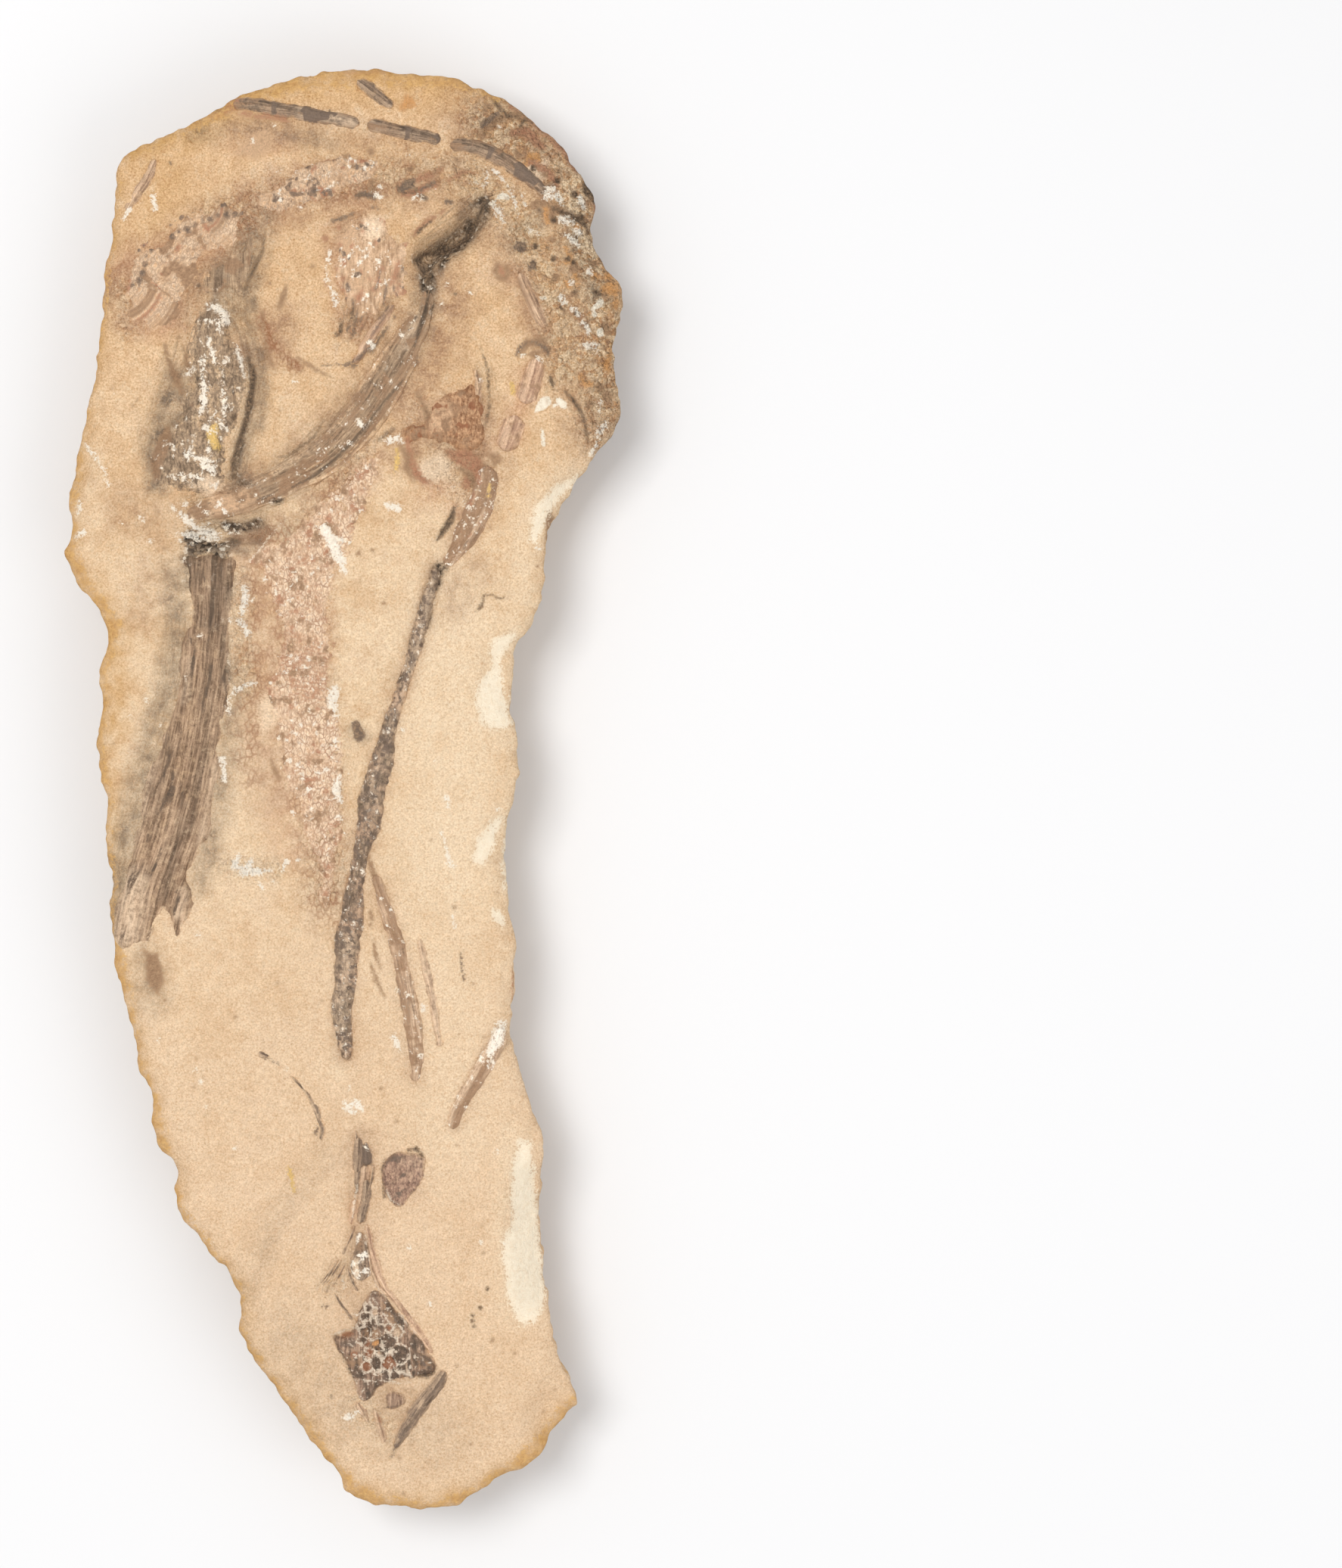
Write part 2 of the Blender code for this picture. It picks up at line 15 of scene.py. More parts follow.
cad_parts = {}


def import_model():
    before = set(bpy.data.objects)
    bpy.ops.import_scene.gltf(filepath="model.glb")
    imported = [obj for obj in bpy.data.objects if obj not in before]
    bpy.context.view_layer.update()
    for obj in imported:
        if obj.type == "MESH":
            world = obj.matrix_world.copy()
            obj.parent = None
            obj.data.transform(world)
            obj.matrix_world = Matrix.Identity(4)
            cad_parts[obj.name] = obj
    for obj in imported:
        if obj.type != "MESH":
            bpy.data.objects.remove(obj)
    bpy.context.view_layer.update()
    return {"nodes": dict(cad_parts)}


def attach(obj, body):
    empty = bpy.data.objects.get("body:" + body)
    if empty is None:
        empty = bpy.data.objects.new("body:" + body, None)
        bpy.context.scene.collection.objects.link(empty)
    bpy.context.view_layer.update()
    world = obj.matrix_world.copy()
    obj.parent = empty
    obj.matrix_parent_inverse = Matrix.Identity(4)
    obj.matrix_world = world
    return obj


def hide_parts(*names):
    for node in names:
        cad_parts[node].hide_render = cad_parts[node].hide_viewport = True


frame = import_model()

MM = 0.001
FAR = 99.0               # a distance that counts as nowhere near, in millimetres
THIN = 0.001             # the width of a line that only carries a fade

# ---------------------------------------------------------------- the slab's form, as in the solids
FACE_LEVEL = 38.0
RIM_ROLL = 3.2
RIM_BAND = 7.0
FACE_DOME = 1.6
DOME_HALF_WIDTH = 90.0
SWELL = 1.3
SWELL_SIZE = 55.0

OUTLINE = [
    (-78, 215), (-74, 219.5), (-65, 224.5), (-55, 228.5), (-47, 232), (-41, 236), (-34, 239.3),
    (-22, 243), (-10, 246.3), (5, 247.3), (10, 247.7), (20, 246.5), (38, 245), (45, 241.2), (53, 237.5),
    (60, 234), (66, 228.5), (75, 220.5), (80, 213), (85.5, 205.5), (86.5, 198), (85.3, 192.5),
    (87, 185.5), (91.5, 178), (95, 172), (96, 168), (95, 160.5), (92.8, 155), (93.2, 145), (94.5, 131),
    (93, 125), (88, 117.5), (84, 111), (78, 103.5), (73.5, 96), (70, 88), (69, 80), (68.8, 69),
    (66.8, 61.5), (63.5, 55), (60, 51), (58, 44), (57, 35), (56.6, 27), (58.5, 20), (59.4, 10), (59.3, 0),
    (57.3, -6), (54.8, -15), (55.5, -25), (55.8, -36), (58.3, -49), (58.8, -60), (58.8, -70), (57.2, -78),
    (58.5, -90), (61.5, -103), (65.5, -113), (68, -122), (67.5, -133), (67, -150), (68.8, -167),
    (70, -176), (71, -184), (75, -199), (80, -211), (77, -216), (70.5, -223.5), (66, -231.5), (57, -236),
    (48, -241), (39, -246.5), (28, -248), (16, -246.7), (7, -245.3), (0, -241.5), (-3, -234), (-9, -229),
    (-14, -220.5), (-21, -212), (-25.5, -205), (-32, -197.5), (-36, -187), (-36.5, -176), (-40, -167),
    (-48, -159.5), (-52, -153), (-58.5, -144), (-59, -130.5), (-64, -124.5), (-66.5, -114),
    (-66.3, -105.5), (-71.5, -96), (-73, -85), (-76, -74), (-79, -59), (-81.4, -43), (-80.5, -30),
    (-82.6, -18.5), (-82, -6), (-85, 10), (-86.2, 17), (-84, 31), (-85, 40), (-82, 53), (-85.5, 63.5),
    (-92, 70.5), (-96.3, 78), (-95.3, 88), (-95, 100), (-93.5, 113), (-90, 126), (-87, 142), (-84.5, 158),
    (-83, 178), (-80.5, 195),
]
# The slab's side rolls in towards this line on its back: Y, then X there.
BACK_LINE = [(-170, 18), (-100, -2), (0, -12), (100, 0), (165, 8)]
BACK_ENDS = (-165, 160)
# Down the side: the share of the height, then how far in it is on the gentle side and on the steep one.
SIDE_RINGS = [
    (1.00, 0.000, 0.000),
    (0.82, 0.010, 0.004),
    (0.60, 0.045, 0.022),
    (0.37, 0.120, 0.060),
    (0.17, 0.240, 0.130),
    (0.05, 0.370, 0.230),
    (0.00, 0.480, 0.330),
]
CENTRE_X = (min(p[0] for p in OUTLINE) + max(p[0] for p in OUTLINE)) / 2
CENTRE_Y = (min(p[1] for p in OUTLINE) + max(p[1] for p in OUTLINE)) / 2

# Rises and hollows of the face: the middle line, the half-width and the height.
RIDGES = {
    "ledge over the arch": ([(47, 205), (40, 199), (33, 192.5), (27, 189), (21, 184)], 6, 2.0),
    "hollow under the ledge": ([(45, 198), (38, 189.5), (30, 185), (27, 178)], 9, -3.2),
    "deep slot under the ledge": ([(42, 193), (36, 188), (29, 184)], 6, -3.8),
    "bed of the arch": ([(27, 170), (21, 156), (10, 139), (0, 123), (-14, 109), (-30, 100)], 9, -2.2),
    "swelling beside the arch": ([(-6, 134), (-16, 124), (-28, 116)], 12, 1.8),
    "recess over the shaft": ([(-50, 86), (-40, 88), (-30, 88)], 6, -3.5),
    "knob": ([(-26, 94), (-24, 92)], 6, 2.5),
    "chalky heap": ([(-44, 158), (-43, 138), (-46, 118), (-56, 110)], 13, 3.0),
    "crest at the fin": ([(-68, 186), (-56, 195), (-44, 199)], 8, 2.0),
    "long crest": ([(-22, 96), (-8, 72), (-12, 40), (-4, 6)], 16, 1.6),
    "furrow beside the rod": ([(36, 84), (22, 45), (2, 10), (-4, -30)], 8, -1.6),
    "edge of the hollow": ([(2, -116), (-14, -134), (-27, -151), (-33, -166), (-34, -182)], 7, 2.2),
    "floor of the hollow": ([(14, -126), (0, -150), (-8, -168), (-4, -186)], 16, -2.6),
}
FLAKE_REACH = 1.15
# Scars of flakes struck off the rim: the middle, the half-length, the half-width and the depth.
FLAKES = {
    "cream scar": ((56, 34), 20, 12, 3.6),
    "short scar": ((56, -20), 12, 12, 3.0),
    "shoulder scar": ((78, 96), 20, 10, 4.0),
    "long scar": ((66, -152), 36, 12, 4.4),
    "foot scar": ((72, -216), 16, 12, 6.0),
    "left scar": ((-93, 112), 16, 9, 4.0),
}

# ---------------------------------------------------------------- the photograph's view
VIEW_CENTRE = (112.3, 1.43)      # plan point in the middle of the picture
VIEW_HEIGHT = 538.7              # height of the picture at the face's level
LENS = 85.0
SENSOR = 36.0


# ---------------------------------------------------------------- noise
def corner(ix, iy, seed):
    """A repeatable number from 0 to 1 for each corner of a lattice."""
    mixed = (ix * 374761393 + iy * 668265263 + seed * 974634777) & 0x7FFFFFFF
    mixed = ((mixed ^ (mixed >> 13)) * 1274126177) & 0x7FFFFFFF
    mixed = ((mixed ^ (mixed >> 15)) * 1103515245) & 0x7FFFFFFF
    return ((mixed ^ (mixed >> 12)) & 0xFFFF) / 65535.0


def noise(x, y, size, seed=0):
    """Smooth noise from -1 to 1 whose lumps are about one size across."""
    u, v = x / size, y / size
    ix, iy = np.floor(u).astype(np.int64), np.floor(v).astype(np.int64)
    fu, fv = u - ix, v - iy
    fu, fv = fu * fu * (3 - 2 * fu), fv * fv * (3 - 2 * fv)
    low = corner(ix, iy, seed) * (1 - fu) + corner(ix + 1, iy, seed) * fu
    high = corner(ix, iy + 1, seed) * (1 - fu) + corner(ix + 1, iy + 1, seed) * fu
    return (low * (1 - fv) + high * fv) * 2 - 1


def fractal(x, y, size, octaves=4, seed=0, gain=0.5):
    """Noise of several sizes, each half the one before and turned a little."""
    total = np.zeros_like(x)
    weight = 1.0
    for i in range(octaves):
        angle = 0.7 * i
        turned_x = x * math.cos(angle) - y * math.sin(angle)
        turned_y = x * math.sin(angle) + y * math.cos(angle)
        total += weight * noise(turned_x, turned_y, size / 2 ** i, seed + 17 * i)
        weight *= gain
    return total


def cells(x, y, size, seed=0, jitter=0.9):
    """How far each point is from the nearest cell's middle and the next one's, and that cell's number."""
    u, v = x / size, y / size
    ix, iy = np.floor(u).astype(np.int64), np.floor(v).astype(np.int64)
    first = np.full(x.shape, FAR)
    second = np.full(x.shape, FAR)
    number = np.zeros(x.shape)
    for ox in (-1, 0, 1):
        for oy in (-1, 0, 1):
            cx, cy = ix + ox, iy + oy
            px = cx + 0.5 + jitter * (corner(cx, cy, seed) - 0.5)
            py = cy + 0.5 + jitter * (corner(cx, cy, seed + 5) - 0.5)
            distance = np.hypot(px - u, py - v)
            nearer = distance < first
            second = np.where(nearer, first, np.minimum(second, distance))
            number = np.where(nearer, corner(cx, cy, seed + 9), number)
            first = np.minimum(first, distance)
    return first * size, second * size, number


# ---------------------------------------------------------------- plan shapes
def step(value):
    """A smooth rise from 0 to 1 as the value goes from 0 to 1."""
    value = np.clip(value, 0.0, 1.0)
    return value * value * (3 - 2 * value)


def near(x, y, points, reach):
    """Which places lie within reach of the box around some points."""
    xs = [p[0] for p in points]
    ys = [p[1] for p in points]
    return (x > min(xs) - reach) & (x < max(xs) + reach) & (y > min(ys) - reach) & (y < max(ys) + reach)


def stroke(x, y, points, width=None, reach=14.0):
    """How far inside a drawn line each point is, in millimetres, and below 0 outside it.

    Where no width is given, the line's points hold their own.
    """
    result = np.full(x.shape, -FAR)
    close = near(x, y, points, reach)
    px, py = x[close], y[close]
    best = np.full(px.shape, -FAR)
    for a, b in zip(points, points[1:]):
        dx, dy = b[0] - a[0], b[1] - a[1]
        along = np.clip(((px - a[0]) * dx + (py - a[1]) * dy) / (dx * dx + dy * dy), 0, 1)
        half = width / 2 if width else (a[2] + (b[2] - a[2]) * along) / 2
        best = np.maximum(best, half - np.hypot(px - a[0] - along * dx, py - a[1] - along * dy))
    result[close] = best
    return result


def fade(x, y, points, half_width):
    """1 along a line, falling smoothly to 0 at its half-width."""
    return step(1 + stroke(x, y, points, THIN, half_width + 2) / half_width)


def area(x, y, outline, reach=14.0):
    """How far inside an outline each point is, in millimetres: below 0 outside it."""
    result = np.full(x.shape, -FAR)
    close = near(x, y, outline, reach)
    px, py = x[close], y[close]
    distance = np.full(px.shape, FAR)
    inside = np.zeros(px.shape, bool)
    for (ax, ay), (bx, by) in zip(outline, outline[1:] + outline[:1]):
        dx, dy = bx - ax, by - ay
        along = np.clip(((px - ax) * dx + (py - ay) * dy) / (dx * dx + dy * dy), 0, 1)
        distance = np.minimum(distance, np.hypot(px - ax - along * dx, py - ay - along * dy))
        if ay != by:
            crosses = ((ay > py) != (by > py)) & (px < ax + (py - ay) * dx / dy)
            inside ^= crosses
    result[close] = np.where(inside, distance, -distance)
    return result


def follow(x, y, points, reach=20.0):
    """Millimetres along a line and to its left, for the places near it."""
    best = np.full(x.shape, reach)
    along, across = np.zeros(x.shape), np.full(x.shape, FAR)
    start = 0.0
    for (ax, ay), (bx, by) in zip(points, points[1:]):
        length = math.hypot(bx - ax, by - ay)
        tx, ty = (bx - ax) / length, (by - ay) / length
        at = np.clip((x - ax) * tx + (y - ay) * ty, 0, length)
        dx, dy = x - ax - at * tx, y - ay - at * ty
        distance = np.hypot(dx, dy)
        closer = distance < best
        best = np.where(closer, distance, best)
        along = np.where(closer, start + at, along)
        across = np.where(closer, np.copysign(distance, tx * dy - ty * dx), across)
        start += length
    return along, across


def smooth_line(points, spacing, closed=False):
    """Points at about one spacing along a smooth curve through the given points (extra values ride along)."""
    pts = np.array(points, float)
    count = len(pts)
    spans = count if closed else count - 1
    found = []
    for i in range(spans):
        if closed:
            p0, p1, p2, p3 = pts[i - 1], pts[i], pts[(i + 1) % count], pts[(i + 2) % count]
        else:
            p1, p2 = pts[i], pts[i + 1]
            p0 = pts[i - 1] if i else p1 * 2 - p2
            p3 = pts[i + 2] if i + 2 < count else p2 * 2 - p1
        steps = max(1, int(round(np.hypot(*(p2 - p1)[:2]) / spacing)))
        for k in range(steps):
            t = k / steps
            found.append(0.5 * (2 * p1 + (p2 - p0) * t + (2 * p0 - 5 * p1 + 4 * p2 - p3) * t ** 2
                                + (3 * p1 - p0 - 3 * p2 + p3) * t ** 3))
    if not closed:
        found.append(pts[-1])
    return np.array(found)


# ---------------------------------------------------------------- the face's relief
def swell(x, y):
    """The broad waves of the face."""
    places = np.stack([x, y], axis=1) / SWELL_SIZE
    return SWELL * np.array([perlin.noise(Vector((u, v, 1.7))) for u, v in places])


def face_height(x, y, from_rim):
    """Height of the split face without fine grain, as in the solids."""
    height = FACE_LEVEL - FACE_DOME * (x / DOME_HALF_WIDTH) ** 2 + swell(x, y)
    for points, half_width, rise in RIDGES.values():
        height += rise * fade(x, y, points, half_width)
    for (cx, cy), half_length, half_width, depth in FLAKES.values():
        radius = np.hypot((x - cx) / half_width, (y - cy) / half_length)
        height -= depth * step(FLAKE_REACH - radius)
    height -= RIM_ROLL * np.maximum(0.0, 1 - from_rim / RIM_BAND) ** 2
    return height


def open_face(x, y):
    """Height of the split face clear of its rim."""
    return face_height(x, y, RIM_BAND)


def world(x, y, z):
    """Plan millimetres and heights as places in metres."""
    return np.stack([(x - CENTRE_X) * MM, (y - CENTRE_Y) * MM, z * MM], axis=1)


# ---------------------------------------------------------------- what is drawn on the face
def line(width, *points):
    """A mark of one width along some points."""
    return ("line", width, list(points))


def taper(*points):
    """A mark along points that each hold their own width."""
    return ("line", None, list(points))


def patch(*points):
    """A mark that fills an outline."""
    return ("area", None, list(points))


# Crisp marks: each kind has its own colour, and some stand proud of the stone or sink into it.
MARKS = {
    "chalk": [
        # the crumbly band at the right
        line(1.6, (84, 178), (84.2, 177)), taper((74.6, 169, 1.2), (75.4, 167.2, 1.0)),
        line(1.0, (78, 165), (79.4, 164.6)), taper((82.6, 152.6, 0.7), (85, 152, 1.3), (87, 152.8, 0.8)),
        taper((86.4, 151.6, 0.9), (86.8, 149.4, 0.6)),
        taper((82, 160, 0.7), (84, 158, 1.2), (83.4, 156, 0.7)),
        taper((87.6, 134, 0.6), (88.2, 131, 1.0), (87.6, 128.6, 0.5)),
        taper((90, 126, 0.8), (88, 123.6, 1.5), (86.6, 121, 0.7)),
        taper((86.4, 118, 0.8), (85, 115.6, 1.4)),
        taper((72, 206.6, 1.0), (73, 203.6, 2.4), (75, 201, 1.4)), line(1.0, (70, 205), (71, 203)),
        taper((76, 190, 1.0), (78, 188.6, 1.6), (80.4, 187, 0.8)), taper((74, 195, 0.7), (76, 194, 1.2)),
        taper((57.2, 206, 0.4), (58.4, 201.6, 1.0), (59.6, 197, 0.4)),
        taper((61, 204, 0.3), (62, 200, 0.7)), line(1.0, (66.5, 148), (67.5, 146.6)),
        line(1.4, (70, 206), (69, 203)), line(1.8, (75, 196), (78, 195)), line(1.6, (81, 203), (82, 200)),
        line(1.4, (80, 192), (81, 190.6)),
        # the ledge
        line(0.6, (35, 173.4), (35.3, 173.2)),
        taper((51.6, 200.4, 0.8), (53, 197.8, 2.2), (54.6, 195, 0.8)),
        taper((43.6, 208.6, 0.5), (47.6, 207.2, 1.0)),
        taper((50, 213, 0.3), (53, 211, 0.6), (56, 207.6, 0.3)), line(0.6, (48.6, 211.6), (49, 208)),
        # the smooth plate
        taper((-5, 184, 0.3), (-5.8, 181.6, 0.5), (-6.2, 178, 0.3), (-5.4, 174, 0.2)),
        line(0.7, (12, 181.4), (12.2, 180.6)),
        taper((-4.8, 172, 0.3), (-3.6, 170.6, 1.0), (-3, 167.6, 1.2), (-3.2, 165.6, 0.4)),
        taper((6.4, 167.6, 0.3), (8, 169, 0.6)), taper((-1, 181, 0.2), (3, 183.6, 0.5)),
        taper((2, 176.6, 0.3), (5, 180, 0.5), (8, 183, 0.3)), line(0.7, (29.4, 172.4), (29.6, 172)),
        line(0.6, (24, 203), (24.3, 203)), line(0.8, (11, 204), (12.4, 203)),
        line(0.6, (11.6, 207), (12.2, 206.4)), line(0.8, (-4, 170), (-3, 166)),
        line(1.2, (9, 153), (9.6, 152)),
        # the fin and its lobe
        line(0.7, (-43, 160), (-42, 156)),
        taper((-47, 166, 1.2), (-45, 165, 2.2), (-41, 163.5, 2.6), (-40, 159, 1.4)),
        line(1.0, (-65, 199), (-66, 205)), line(1, (-74, 199), (-76, 196)),
        # the left rim
        taper((-92, 99, 1), (-91.4, 96, 1.6), (-92.4, 93, 0.8)),
        taper((-93, 86, 1.4), (-91, 88, 1), (-89, 88, 0.8)),
        taper((-90, 119, 0.8), (-87, 115, 1.2), (-83, 110, 0.8), (-81, 104, 0.6)),
        line(1, (-70, 93), (-69, 92)),
        # the chalky bone
        taper((-48.4, 142, 0.6), (-47.6, 137, 1.8), (-48, 131, 2.0), (-49.4, 128, 0.8)),
        taper((-41.4, 143, 0.3), (-41, 136, 0.7), (-41, 128, 0.8), (-41.8, 124.4, 1.4)),
        line(0.9, (-45, 150), (-44, 146)), taper((-36.6, 150, 0.6), (-35.2, 146, 1.3), (-34.4, 141, 0.6)),
        line(0.8, (-40, 147), (-40.6, 145)), taper((-54, 115, 0.8), (-50, 113, 1.4), (-45, 112, 1.0)),
        taper((-48.6, 111, 1.2), (-45, 109, 2.6), (-44.6, 107.6, 1)), line(0.9, (-46, 154), (-46.4, 152)),
        line(0.8, (-55.6, 107.4), (-54, 106)), line(1.4, (-52, 144), (-54, 142)),
        # the arch
        line(1.6, (5, 126), (6, 124.4)),
        # the amber plate and the shoulder rods
        taper((15, 119, 1.6), (18, 120.4, 2), (20, 118.6, 1)), line(0.8, (41, 98), (43, 96)),
        taper((14, 98, 1), (16, 96.6, 2), (19, 96, 1)),
        # the shaft
        taper((-56, 94, 2), (-53, 91.5, 3), (-50, 88.6, 2), (-46, 87.6, 2.2), (-43, 86, 1.2)),
        taper((-58, 87.4, 0.8), (-50, 86.8, 2), (-43, 85, 1)), taper((-42, 10, 1.8), (-41, 3, 1.2)),
        taper((-40, 26, 0.8), (-39.6, 30, 1.2), (-37.6, 33.6, 1.2), (-34, 35.6, 1.4), (-31, 36, 0.8)),
        # the scale sheet
        taper((-7, 90, 2.6), (-4, 84, 3.8), (-1, 78, 3), (0, 74, 1)),
        taper((-3, 34, 2.6), (-4.4, 30, 3), (-3, 26, 1.4)),
        taper((-2, 4, 1.4), (-2.6, -1, 2.4), (-1, -5, 1)),
        taper((-34.5, 69, 1.6), (-34, 64, 2.6), (-36, 58, 1.2), (-33.4, 53, 2.2)),
        taper((-36, -23, 0.8), (-38, -27, 1.4), (-34, -28, 2), (-32, -25, 1)),
        taper((-36, -30, 0.8), (-31, -29, 2), (-25, -28, 1)), line(1.2, (-20, -25), (-21, -28)),
        line(1.2, (-24.5, -32), (-24, -32.4)), line(1.0, (-29, -33), (-28, -35)),
        # the long rod and the plain beside it
        taper((33, -15, 0.8), (35, -20, 1.2), (36, -26, 1), (38, -27, 0.6)),
        taper((35, -3, 0.6), (36, -6, 0.8)),
        # the lower plain
        line(1.0, (18, -69), (18.4, -70)), line(1.2, (27, -75), (27.2, -76)),
        line(1.6, (17, -85), (19, -90)), line(0.8, (37, -44), (38, -48)),
        taper((54, -82, 3.4), (52, -87, 4), (50, -91, 2)),
        taper((0, -108, 0.8), (2, -109, 2), (4, -108, 1.6), (6, -110.4, 1), (3, -111, 1.6),
            (0.6, -110.6, 0.8)),
        # the narrow end
        taper((0, -217, 0.6), (2, -216, 1.4), (5, -214, 0.8)),
    ],
    "rosy": [
        patch((-38, 218), (-33, 224), (-27, 226), (-24, 221), (-30, 216)),
        patch((-2.8, 189), (-1, 193), (2, 195.8), (4, 193), (5, 188), (6.6, 184.6), (4, 183), (0, 181),
            (-2, 184)),
        patch((3, 178.6), (6, 180.6), (8, 177), (8.4, 172), (6, 170), (3, 171), (2, 175)),
        patch((26, 130), (32, 134), (38, 132), (37, 124), (30, 122)),
        patch((-48, 96), (-42, 101), (-34, 103), (-30, 99), (-34, 95), (-42, 93)),
        patch((4, -146), (5, -143), (3, -141), (1, -145), (2, -150)),
    ],
    "pearl": [
        # the crumbly band at the right
        patch((65.4, 129), (65.8, 131), (67.2, 133.8), (69.2, 134.8), (71, 134.4), (71.2, 132.4),
            (69.6, 130.8), (67.6, 129.6)),
        patch((72.6, 134.2), (74, 134.4), (76.4, 132.4), (76.6, 130.6), (75, 130.2), (73, 132.4)),
        line(1.3, (72, 131.4), (72.6, 131.8)),
        taper((68, 123.6, 0.7), (68.2, 120.6, 1.3), (68.5, 118, 1.5)),
        taper((67.4, 168.5, 1.1), (69.2, 168.4, 1.1)), line(1.9, (86, 163.2), (86, 162.8)),
        patch((84.2, 164.4), (85.6, 166.2), (88, 168.4), (89.6, 167.6), (88.4, 165.6), (86, 164)),
        patch((86.6, 155.6), (86.8, 158), (88.6, 158.4), (89.2, 156.4), (88.6, 154.8)),
        # the ledge
        taper((52.8, 203, 1.4), (54.6, 203.6, 2.6), (56, 203.2, 1.6)),
        line(1.2, (50.4, 201), (51.4, 201.6)),
    ],
    "cream": [
        patch((60, 212), (64, 216), (70, 216), (70, 210), (64, 208)),
        patch((5.6, 190), (6.6, 195), (10, 197), (13.4, 196), (14.4, 191), (12, 188), (9, 187.6)),
        patch((-52, 104), (-46, 108), (-42, 104), (-46, 100)),
        patch((23, 108), (27, 113), (33, 115), (37, 111), (36, 107), (28, 104.6)),
        patch((-30, 29), (-24, 34), (-22, 24), (-28, 18)),
        line(3, (4, -163), (4.6, -168)),
    ],
    "yellow": [
        line(1.4, (57.6, 139), (58, 136)),
        taper((-43.6, 124, 2), (-45, 121, 4), (-43.6, 117, 3)),
        taper((18, 117, 1), (18.4, 113, 1.8), (17.6, 109, 0.8)), line(1.0, (50, 104), (49.4, 100)),
        line(1.4, (-19, -131), (-17, -138)),
    ],
    "orange": [
        patch((19, 233), (24.6, 233.4), (25, 237), (20.6, 238)),
        patch((87.8, 171), (89, 173.4), (92, 174.4), (94, 172.6), (93.4, 169.4), (90, 169.6)),
        taper((91, 151, 1.0), (90.6, 148, 1.6), (89.8, 145.6, 2.6), (91, 143.6, 1.2)),
        taper((81, 142, 1.0), (82.4, 139, 1.8)),
        taper((76, 186, 1.2), (78.4, 180, 1.8), (80.4, 172.6, 1.0)),
        patch((61.4, 213.6), (63, 218), (67, 218.6), (67.6, 214.6)),
        taper((69, 200, 1.6), (70, 195, 2.0)), line(2.4, (84, 178), (86, 176)),
        line(2.0, (60, 226), (63, 224)),
    ],
    "red": [
        # across the top
        patch((-47, 231), (-43, 235.4), (-36.6, 239.2), (-35, 237), (-37, 233), (-44, 230.4)),
        line(1.6, (-36, 232), (-20, 229.6)), line(1.4, (0, 246.6), (14, 247)),
        # the crumbly band at the right
        taper((57, 234.6, 1.4), (66, 228, 2), (75, 220, 2.6), (80, 213, 2)),
        taper((84, 209, 2), (86.6, 203, 3), (86.6, 198, 2)),
        taper((58, 225, 2), (62, 226, 4), (68, 221, 3)), taper((64, 215, 2), (70, 212, 3), (73, 207, 2)),
        # the ledge
        line(2, (55, 176), (53, 179)), taper((34, 213, 0.6), (30, 211, 1.4), (26, 208, 0.6)),
        taper((36, 209, 0.8), (41, 212, 1.2), (46, 211, 0.6)),
        # the smooth plate
        patch((17.6, 207), (22, 209.4), (30, 212), (31, 210), (22, 206.4), (18, 205)),
        patch((19, 204.6), (25, 207), (31.6, 209), (32, 206.6), (26, 203.4), (20, 202.6)),
        taper((24, 190.6, 1), (28, 194.4, 2), (34, 198, 0.8)),
        taper((18.8, 180.6, 0.8), (17.6, 176, 2.2), (16.2, 173.4, 1)),
        patch((3, 169), (6, 171), (7, 169), (4.6, 166)),
        # the amber plate and the shoulder rods
        patch((35, 116), (43, 116), (47.6, 112), (46, 106), (42, 102.4), (40.4, 104), (42, 109), (38, 111)),
        patch((20.6, 120), (22.4, 120), (24, 113), (27, 108), (30, 104.6), (27, 104.4), (23, 107),
            (20.6, 113)),
        # the lower plain
        taper((58.6, -62, 1.4), (57.4, -73, 1)),
    ],
    "brown": [
        # across the top
        taper((66, 236, 1), (60, 232, 2), (52, 230, 3.4), (49, 226.6, 2)),
        # the crumbly band at the right
        taper((60.2, 174.6, 0.6), (61.8, 170, 0.9), (63.6, 166, 0.8), (65, 162.6, 0.5)),
        patch((62, 149), (65, 151), (68, 150), (66, 147.6)),
        taper((60, 149, 1.4), (63, 153, 3), (68, 153.4, 3), (70, 150.6, 1.2)),
        # the ledge
        taper((53, 180, 1.4), (51.8, 178, 1.6), (52.6, 175.8, 1.4), (55, 175, 1.2), (56.2, 176.8, 1.4),
            (55.6, 179.4, 1.2)),
        # the smooth plate
        taper((3, 167, 0.8), (2, 162, 1.2), (1, 158, 0.5)),
        taper((5, 166, 0.8), (3.6, 160, 1.2), (2, 154, 0.5)),
        taper((-1, 158, 1), (-2, 156.4, 1.6), (-3, 155, 0.6)),
        taper((9, 170, 0.6), (12, 163, 1), (13, 160, 0.5)),
        # the fin and its lobe
        taper((-20, 172.6, 0.8), (-21, 169, 2.6), (-22.4, 165, 1.2)),
        # the chalky bone
        patch(
            (-61, 125), (-64.6, 119), (-66.4, 112), (-65.4, 105), (-63.4, 106), (-61.6, 112), (-58.6, 119)),
        taper((-62, 153, 0.4), (-60.6, 147, 2.0), (-57.6, 140, 3.0), (-56, 136, 1.4)),
        taper((-55.6, 152, 0.4), (-54, 146, 1.8), (-52.6, 141, 1.2)),
        # the arch
        taper((0, 145, 0.5), (3, 145, 1), (4, 147, 1)),
        taper((-28, 164, 0.5), (-28, 156, 0.8), (-26, 148, 0.8), (-24, 143, 0.4)),
        taper((-16, 148, 0.5), (-10, 144, 0.9), (-4, 141, 0.4)),
        # the amber plate and the shoulder rods
